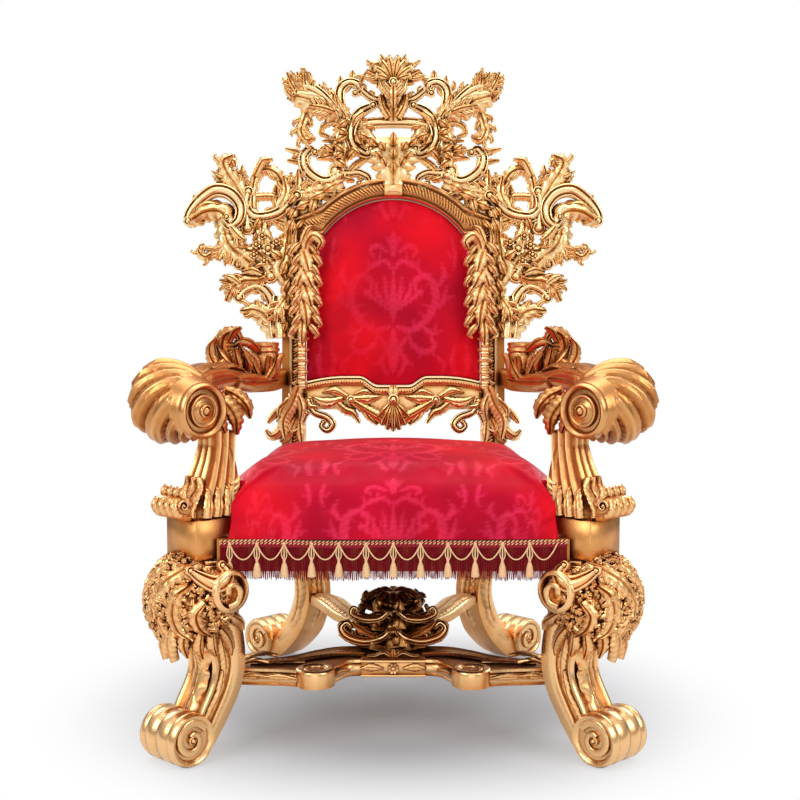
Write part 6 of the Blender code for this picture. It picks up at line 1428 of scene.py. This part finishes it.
def threadMaterial(name, colour, other, roughness):
    # Twisted silk thread: matt, uneven from strand to strand
    material, tree, shader = newMaterial(name, colour)
    place = addNode(tree, "ShaderNodeTexCoord").outputs["Object"]
    strands = addNode(tree, "ShaderNodeTexNoise", None, {"Vector": place, "Scale": 320.0, "Detail": 1.0})
    mix = addNode(tree, "ShaderNodeMix", {"data_type": "RGBA"},
                  {"Factor": strands.outputs["Fac"], 6: linear(colour), 7: linear(other)})
    tree.links.new(mix.outputs[2], shader.inputs["Base Color"])
    shader.inputs["Roughness"].default_value = roughness
    shader.inputs["Specular IOR Level"].default_value = 0.2
    return material


silk = damaskSilk()
creamThread = threadMaterial("creamSilkCord", "#EBC79C", "#CF9A6A", 0.6)
redThread = threadMaterial("crimsonSilkFringe", "#A01024", "#560812", 0.6)


def solidGrid(name, top, bottom):
    # Closed skin from an upper and a lower sheet of the same grid, joined round the edge
    rows, cols = top.shape[:2]
    index = np.arange(rows * cols).reshape(rows, cols)
    quads = np.stack([index[:-1, :-1], index[:-1, 1:], index[1:, 1:], index[1:, :-1]], axis=-1).reshape(-1, 4)
    rim = np.concatenate([index[0, :-1], index[:-1, -1], index[-1, :0:-1], index[:0:-1, 0]])
    after = np.roll(rim, -1)
    offset = rows * cols
    faces = quads.tolist() + (quads[:, ::-1] + offset).tolist()
    faces += np.stack([rim, rim + offset, after + offset, after], axis=-1).tolist()
    mesh = bpy.data.meshes.new(name)
    mesh.from_pydata(np.vstack([top.reshape(-1, 3), bottom.reshape(-1, 3)]).tolist(), [], faces)
    shape = bmesh.new()
    shape.from_mesh(mesh)
    bmesh.ops.recalc_face_normals(shape, faces=shape.faces)
    shape.to_mesh(mesh)
    shape.free()
    piece = bpy.data.objects.new(name, mesh)
    bpy.context.scene.collection.objects.link(piece)
    return piece


def meshPoints(mesh):
    values = np.empty(len(mesh.vertices) * 3)
    mesh.vertices.foreach_get("co", values)
    return values.reshape(-1, 3)


def setPoints(mesh, points):
    mesh.vertices.foreach_set("co", points.reshape(-1))
    mesh.update()


def puff(piece, held, pressure, limit, shrink):
    # Stuffing pushes the cover out from its held edge, which leaves it in soft folds
    start = meshPoints(piece.data)
    group = piece.vertex_groups.new(name="held")
    group.add([int(i) for i in np.nonzero(held)[0]], 1.0, "REPLACE")
    cloth = piece.modifiers.new("cover", "CLOTH")
    settings = cloth.settings
    settings.quality = 6
    settings.mass = 0.3
    settings.tension_stiffness = 18
    settings.compression_stiffness = 18
    settings.shear_stiffness = 8
    settings.bending_stiffness = 1.2
    settings.use_pressure = True
    settings.uniform_pressure_force = pressure
    settings.shrink_min = shrink
    settings.vertex_group_mass = "held"
    settings.effector_weights.gravity = 0.0
    cloth.collision_settings.use_collision = False
    cloth.point_cache.frame_start = 1
    cloth.point_cache.frame_end = 20
    scene = bpy.context.scene
    for number in range(1, 21):
        scene.frame_set(number)
    mesh = bpy.data.meshes.new_from_object(piece.evaluated_get(bpy.context.evaluated_depsgraph_get()))
    end = meshPoints(mesh)
    piece.modifiers.clear()
    move = end - start
    size = np.linalg.norm(move, axis=1, keepdims=True)
    move *= np.minimum(1.0, limit / np.maximum(size, 1e-9))
    setPoints(piece.data, start + move)
    scene.frame_set(1)


def subdivide(piece):
    modifier = piece.modifiers.new("smooth", "SUBSURF")
    modifier.levels = 1
    modifier.render_levels = 1
    mesh = bpy.data.meshes.new_from_object(piece.evaluated_get(bpy.context.evaluated_depsgraph_get()))
    piece.modifiers.clear()
    piece.data = mesh
    mesh.shade_smooth()


def stampMotif(piece, across, up, wide, high, under=None):
    values = motifAt(across / wide + 0.5, up / high + 0.5)
    if under is not None:
        values = np.where(under, -1.0, values)
    attribute = piece.data.attributes.new("motif", "FLOAT", "POINT")
    attribute.data.foreach_set("value", values.astype(np.float32))


# Seat cushion
seatLook = {"frontY": -0.389, "depth": 0.552, "frontWidth": 0.690, "rearWidth": 0.590, "base": 0.4353, "crown": 0.139,
            "pressure": 4.0, "puff": 0.012, "cells": 48}


def seatHalf(y):
    share = (y - seatLook["frontY"]) / seatLook["depth"]
    return (seatLook["frontWidth"] + (seatLook["rearWidth"] - seatLook["frontWidth"]) * share) / 2


def makeCushion():
    count = seatLook["cells"]
    profile = np.array([(0.0, 1.0), (0.25, 0.996), (0.50, 0.975), (0.70, 0.93), (0.83, 0.865), (0.915, 0.775), (0.965, 0.65),
                        (0.995, 0.48), (1.008, 0.30), (1.009, 0.13), (1.0, 0.0)])
    scale = np.array([0.33, seatLook["crown"]])
    lengths = np.concatenate([[0], np.cumsum(np.linalg.norm(np.diff(profile * scale, axis=0), axis=1))])
    level = np.linspace(0, 1, count + 1)
    size = np.interp(level * lengths[-1], lengths, profile[:, 0])
    height = np.interp(level * lengths[-1], lengths, profile[:, 1])
    fuller = np.interp(size, profile[:, 0], [1.0, 0.999, 0.993, 0.980, 0.962, 0.93, 0.87, 0.73, 0.46, 0.18, 0.0])
    fuller = np.where(level * lengths[-1] > lengths[-3], height, np.maximum(fuller, height))
    steps = np.arange(-count, count + 1)
    i, j = np.meshgrid(steps, steps)
    ring = np.maximum(np.abs(i), np.abs(j))
    safe = np.maximum(ring, 1)
    a, b = i / safe, j / safe
    radius = size[ring]
    roundOff = 1 - 0.045 * (np.abs(a * b)) ** 4
    blend = ring / count
    softer = (1 - blend) * (1 / np.maximum(np.hypot(a, b), 1e-6)) + blend * 1.0
    softer = np.where(ring == 0, 1, np.minimum(softer, 1.0) ** 0.35)
    x, y = a * radius * roundOff * softer, b * radius * roundOff * softer
    middle = seatLook["frontY"] + seatLook["depth"] * 0.5
    worldY = middle + y * seatLook["depth"] / 2
    worldX = x * seatHalf(worldY)
    sideways = ease((np.abs(i) - np.abs(j)) / safe, -0.25, 0.45)
    worldZ = seatLook["base"] + seatLook["crown"] * (height[ring] * (1 - sideways) + fuller[ring] * sideways) * (1 - 0.15 * x * x)
    top = np.stack([worldX, worldY, worldZ], axis=-1)
    bottom = top.copy()
    bottom[..., 2] = seatLook["base"] - 0.0008
    shrink = 1 - 0.002
    bottom[..., 0] *= shrink
    bottom[..., 1] = middle + (bottom[..., 1] - middle) * shrink
    piece = solidGrid("seatCushion", top, bottom)
    z = meshPoints(piece.data)[:, 2]
    puff(piece, z < seatLook["base"] + 0.006, seatLook["pressure"], seatLook["puff"], -0.012)
    subdivide(piece)
    points = meshPoints(piece.data)
    # Room for both posts
    for sign in (-1, 1):
        dx, dy = points[:, 0] * -sign + 0.375, points[:, 1] + 0.344
        dx = sign * points[:, 0] * 1.0
        out = ((dx - 0.375) - (points[:, 1] + 0.344)) / math.sqrt(2)
        cross = ((dx - 0.375) + (points[:, 1] + 0.344)) / math.sqrt(2)
        limit = -0.0735 + np.maximum(0, np.abs(cross) - 0.0515) * 5
        push = np.minimum(0, limit - out)
        push = np.where(points[:, 2] > 0.3, push, 0)
        points[:, 0] += sign * push / math.sqrt(2)
        points[:, 1] -= push / math.sqrt(2)
    points[:, 2] = np.maximum(points[:, 2], seatLook["base"] - 0.0008)
    setPoints(piece.data, points)
    shape = bmesh.new()
    shape.from_mesh(piece.data)
    flat = [f for f in shape.faces if f.normal.z < -0.99 and f.calc_center_median().z < seatLook["base"]]
    bmesh.ops.dissolve_faces(shape, faces=flat, use_verts=True)
    shape.to_mesh(piece.data)
    shape.free()
    # The cloth runs over the edges, so its figure is unrolled down the sides
    points = meshPoints(piece.data)
    drop = seatLook["base"] + seatLook["crown"] - points[:, 2]
    sideShare = ease(np.abs(points[:, 0]) / seatHalf(points[:, 1]), 0.60, 0.96)
    endShare = ease(np.abs(points[:, 1] - middle) / (seatLook["depth"] / 2), 0.60, 0.96) * (1 - sideShare)
    across = points[:, 0] + np.sign(points[:, 0]) * drop * sideShare
    up = points[:, 1] + np.sign(points[:, 1] - middle) * drop * endShare
    stampMotif(piece, across, up + 0.19, 0.300, 0.345, points[:, 2] < seatLook["base"])
    piece.data.materials.append(silk)
    handOver(piece, "seat_cushion")


def makeBackPad():
    columns = np.linspace(-1, 1, 54)
    gap = 0.0012
    side = panelSide - gap
    u = columns * side
    rise = archTop - panelShoulder
    radius = (archHalf ** 2 + rise ** 2) / (2 * rise)
    centre = archTop - radius
    top = np.where(np.abs(u) < archHalf - gap, centre + np.sqrt(np.maximum((radius - gap) ** 2 - u ** 2, 0)), panelShoulder - gap)
    bottom = railTop(u) + gap
    share = np.linspace(0, 1, 60)[:, None]
    v = bottom[None] + (top - bottom)[None] * share
    uu = np.tile(u, (60, 1))
    edge = np.minimum(np.minimum(side - np.abs(uu), v - bottom[None]), (top[None] - v))
    crown = 0.0135 * (1 - np.exp(-edge / 0.035))
    front = np.stack([uu, v, -0.0055 + crown], axis=-1)
    back = np.stack([uu, v, np.full_like(uu, -0.0188)], axis=-1)
    piece = solidGrid("backPad", pointsOn(backPlane, front.reshape(-1, 3)).reshape(front.shape),
                      pointsOn(backPlane, back.reshape(-1, 3)).reshape(back.shape))
    local = (meshPoints(piece.data) - backPlane[:3, 3]) @ backPlane[:3, :3]
    held = local[:, 2] < -0.0050
    puff(piece, held, 1.6, 0.004, -0.006)
    subdivide(piece)
    points = meshPoints(piece.data)
    stampMotif(piece, points[:, 0], points[:, 2] - 0.86, 0.310, 0.360)
    piece.data.materials.append(silk)
    handOver(piece, "back_pad")


# Fringe: braid, swags with knots and tassels, threads behind
fringeLook = {"threadSpacing": 0.0037, "swagSpacing": 0.0523, "drop": 0.070, "braid": 0.0078}


def fringeShapes():
    made = {}
    strand = Carving()
    for shift in (-0.00085, 0.00085):
        rows = []
        for k in range(5):
            z = -0.0055 - (fringeLook["drop"]) * k / 4
            a = 1.6 * k + (2 if shift > 0 else 0)
            cx, cy = shift + 0.0005 * math.cos(a), -0.0006 * math.sin(a) - (0.0012 if shift > 0 else 0)
            r = 0.00062 if k < 4 else 0.0004
            rows.append([(cx + r * math.cos(t), cy + r * math.sin(t), z) for t in (0, math.pi / 2, math.pi, 1.5 * math.pi)])
        strand.addGrid(np.array(rows), np.full((5, 4), 0.5))
    made["strand"] = strand.build("strand")
    rope = Carving()
    angle = math.radians(38)
    rows = []
    for k in range(7):
        a = math.pi * k / 6
        r = 0.0015 * max(0.12, math.sin(a)) ** 0.7
        y = -0.0040 * math.cos(a)
        rows.append([(r * math.cos(t) * math.cos(angle) - y * math.cos(angle + 0.6) * 0 + y * math.cos(angle),
                      r * math.sin(t), y * math.sin(angle) - r * math.cos(t) * math.sin(angle)) for t in
                     np.linspace(0, 2 * np.pi, 7, endpoint=False)])
    rope.addGrid(np.array(rows), np.full((7, 7), 0.5))
    made["rope"] = rope.build("rope")
    tassel = Carving()
    rows = denseProfile([(0.0008, -0.036), (0.0028, -0.0365), (0.0032, -0.0385), (0.0020, -0.0405), (0.0034, -0.043),
                         (0.0060, -0.050), (0.0076, -0.060), (0.0088, -0.0700), (0.0050, -0.0715)], 12)
    turned(tassel, rows, worldPlane, 14, 7, 0.12)
    for a, b in ((-0.0045, 0.0012), (0.0045, -0.0006)):
        loop = [(0.0, -0.0008, -0.004), (a * 0.8, -0.0012, -0.016), (a * 1.1, -0.0014, -0.029 + b), (0.0, -0.0016, -0.0365),
                (0.0, -0.0010, -0.010)]
        scroll(tassel, loop, 0.0010, 0.0010, 0, worldPlane, 1.0, 0.0022, (0, 1, 0), plainLine, False)
    turned(tassel, [(0.0005, -0.0105), (0.0028, -0.0090), (0.0034, -0.0065), (0.0024, -0.0040), (0.0005, -0.0030)], worldPlane, 10)
    half = fringeLook["swagSpacing"] / 2
    swag = [(0, -0.0012, -0.006), (half * 0.30, -0.0026, -0.0215), (half * 0.65, -0.0032, -0.0330), (half, -0.0034, -0.0365),
            (half * 1.35, -0.0032, -0.0330), (half * 1.70, -0.0026, -0.0215), (half * 2, -0.0012, -0.006)]
    scroll(tassel, swag, 0.0012, 0.0012, 0, worldPlane, 1.0, 0.003, (0, 1, 0), plainLine, False)
    made["tassel"] = tassel.build("tassel")
    return made


def makeFringe():
    made = fringeShapes()
    top = 0.434
    frontY = -0.389 + 0.003
    lines = {"front": [(-0.331, frontY, top), (0.331, frontY, top)],
             "left": [(-0.2885, 0.140, top), (-0.3345, -0.300, top)],
             "right": [(0.3345, -0.300, top), (0.2885, 0.140, top)]}
    for name, ends in lines.items():
        ends = np.array(ends)
        line = np.linspace(ends[0], ends[1], 40)
        line[:, 2] += 0.0012 * np.sin(np.linspace(0, 14, 40))
        up = (0, 0, 1)
        outward = np.cross(ends[1] - ends[0], up)
        outward /= np.linalg.norm(outward)
        front = line + outward * 0.0016
        pieces = [
            (rowOf("fringeThreads_" + name, line, made["strand"], redThread, fringeLook["threadSpacing"], 1.0, 0.035, up, 3)),
            (rowOf("fringeThreadsBehind_" + name, line - outward * 0.0022 + (0.001, 0, 0), made["strand"], redThread,
                   fringeLook["threadSpacing"] * 1.13, 1.0, 0.05, up, 5)),
            (rowOf("fringeBraid_" + name, front + (0, 0, -0.0016), made["rope"], creamThread, fringeLook["braid"], 1.0, 0.02, up, 4)),
            (rowOf("fringeBraidLower_" + name, front + (0, 0, -0.0064), made["rope"], creamThread, fringeLook["braid"], 0.9, 0.02,
                   up, 6))]
        length = np.linalg.norm(ends[1] - ends[0])
        count = int(length / fringeLook["swagSpacing"])
        start = ends[0] + (ends[1] - ends[0]) * (1 - count * fringeLook["swagSpacing"] / length) / 2
        stop = start + (ends[1] - ends[0]) / length * fringeLook["swagSpacing"] * (count - 1)
        tasselLine = np.linspace(start, stop, count * 3) + outward * 0.002
        pieces.append(rowOf("fringeTassels_" + name, tasselLine, made["tassel"], creamThread, fringeLook["swagSpacing"] * 0.9999,
                            1.0, 0.0, up, 2))
        band = Carving()
        scroll(band, [tuple(p) for p in (line[::3] + (0, 0, -0.008))], 0.0022, 0.0065, 0, worldPlane, 1.0, 0.02, up, plainLine, False)
        behind = band.build("fringeHeading_" + name)
        behind.data.materials.append(redThread)
        pieces.append(behind)
        for piece in pieces:
            handOver(piece, "seat_fringe_" + name)
    for shape in made.values():
        bpy.data.objects.remove(shape, do_unlink=True)


makeCrest()
print("crest carved")
makeWings()
print("wings carved")
makeBackFrame()
makeBackRail()
print("back carved")
for side in ("left", "right"):
    makeFrontLeg(side)
    makePost(side)
    makeArm(side)
    makeRearLeg(side)
    makeCrossArm(side)
makeFrontStretcher()
makeBoss()
print("legs, arms and stretchers carved")
makeCushion()
makeBackPad()
makeFringe()
print("upholstery sewn")
for shape in shapes.values():
    bpy.data.objects.remove(shape, do_unlink=True)


# Floor, light and camera
def makeStudio():
    # The grey base colour is a painted shadow under the throne
    floorMaterial, tree, shader = newMaterial("studioFloorPaintedShadow", "#B3B6BB")
    shader.inputs["Roughness"].default_value = 0.9
    # Near the throne the grey floor colour is a painted shadow; past it the floor runs out into the white background
    place = addNode(tree, "ShaderNodeTexCoord").outputs["Object"]
    away = addNode(tree, "ShaderNodeVectorMath", {"operation": "LENGTH"}, {0: place}).outputs["Value"]
    share = addNode(tree, "ShaderNodeMapRange", {"interpolation_type": "SMOOTHSTEP"},
                    {"Value": away, "From Min": 0.28, "From Max": 0.80}).outputs["Result"]
    glow = addNode(tree, "ShaderNodeEmission", None, {"Color": (1, 1, 1, 1), "Strength": 1.0})
    mixed = addNode(tree, "ShaderNodeMixShader", None, {0: share, 1: shader.outputs[0], 2: glow.outputs[0]})
    tree.links.new(mixed.outputs[0], tree.nodes["Material Output"].inputs["Surface"])
    mesh = bpy.data.meshes.new("studioFloor")
    mesh.from_pydata([(-14, -14, 0), (14, -14, 0), (14, 14, 0), (-14, 14, 0)], [], [(0, 1, 2, 3)])
    floor = bpy.data.objects.new("studioFloor", mesh)
    bpy.context.scene.collection.objects.link(floor)
    mesh.materials.append(floorMaterial)
    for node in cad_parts.values():
        for i in range(len(node.material_slots)):
            node.material_slots[i].material = goldBack
    world = bpy.data.worlds.new("studio")
    bpy.context.scene.world = world
    world.use_nodes = True
    tree = world.node_tree
    back = tree.nodes["Background"]
    direction = addNode(tree, "ShaderNodeTexCoord").outputs["Generated"]
    parts = addNode(tree, "ShaderNodeSeparateXYZ", None, {"Vector": direction})
    ramp = addNode(tree, "ShaderNodeValToRGB", None, {"Fac": parts.outputs["Z"]})
    ramp.color_ramp.elements[0].position = 0.0
    ramp.color_ramp.elements[0].color = (0.30, 0.28, 0.26, 1)
    ramp.color_ramp.elements[1].position = 0.75
    ramp.color_ramp.elements[1].color = (0.95, 0.95, 0.95, 1)
    tree.links.new(ramp.outputs["Color"], back.inputs["Color"])
    back.inputs["Strength"].default_value = 0.9
    plain = addNode(tree, "ShaderNodeBackground", None, {"Color": (1, 1, 1, 1), "Strength": 1.0})
    path = addNode(tree, "ShaderNodeLightPath")
    mix = addNode(tree, "ShaderNodeMixShader", None, {0: path.outputs["Is Camera Ray"], 1: back.outputs[0], 2: plain.outputs[0]})
    tree.links.new(mix.outputs[0], tree.nodes["World Output"].inputs["Surface"])
    lights = {"keyLeft": ((-2.6, -2.6, 2.6), 2.2, 62), "keyRight": ((2.8, -2.2, 2.2), 1.8, 40),
              "frontLow": ((0.0, -4.4, 1.0), 2.4, 22), "topSoft": ((0.0, 0.4, 3.6), 3.0, 60),
              "rimLeft": ((-2.2, 2.4, 1.8), 1.4, 25), "rimRight": ((2.2, 2.4, 1.8), 1.4, 25)}
    for name, (place, size, power) in lights.items():
        lamp = bpy.data.lights.new(name, "AREA")
        lamp.size = size
        lamp.energy = power
        holder = bpy.data.objects.new(name, lamp)
        holder.location = place
        aim = Vector((0, 0, 0.75)) - Vector(place)
        holder.rotation_euler = aim.to_track_quat("-Z", "Y").to_euler()
        bpy.context.scene.collection.objects.link(holder)
    camera = bpy.data.cameras.new("photoCamera")
    camera.lens = 65.07
    camera.sensor_width = 36.0
    camera.shift_x = 0.0084
    holder = bpy.data.objects.new("photoCamera", camera)
    holder.location = (0, -3.12, 0.961)
    holder.rotation_euler = (math.radians(90 - 5.37), 0, 0)
    bpy.context.scene.collection.objects.link(holder)
    bpy.context.scene.camera = holder
    bpy.context.scene.view_settings.view_transform = "Standard"


makeStudio()
print("studio ready")
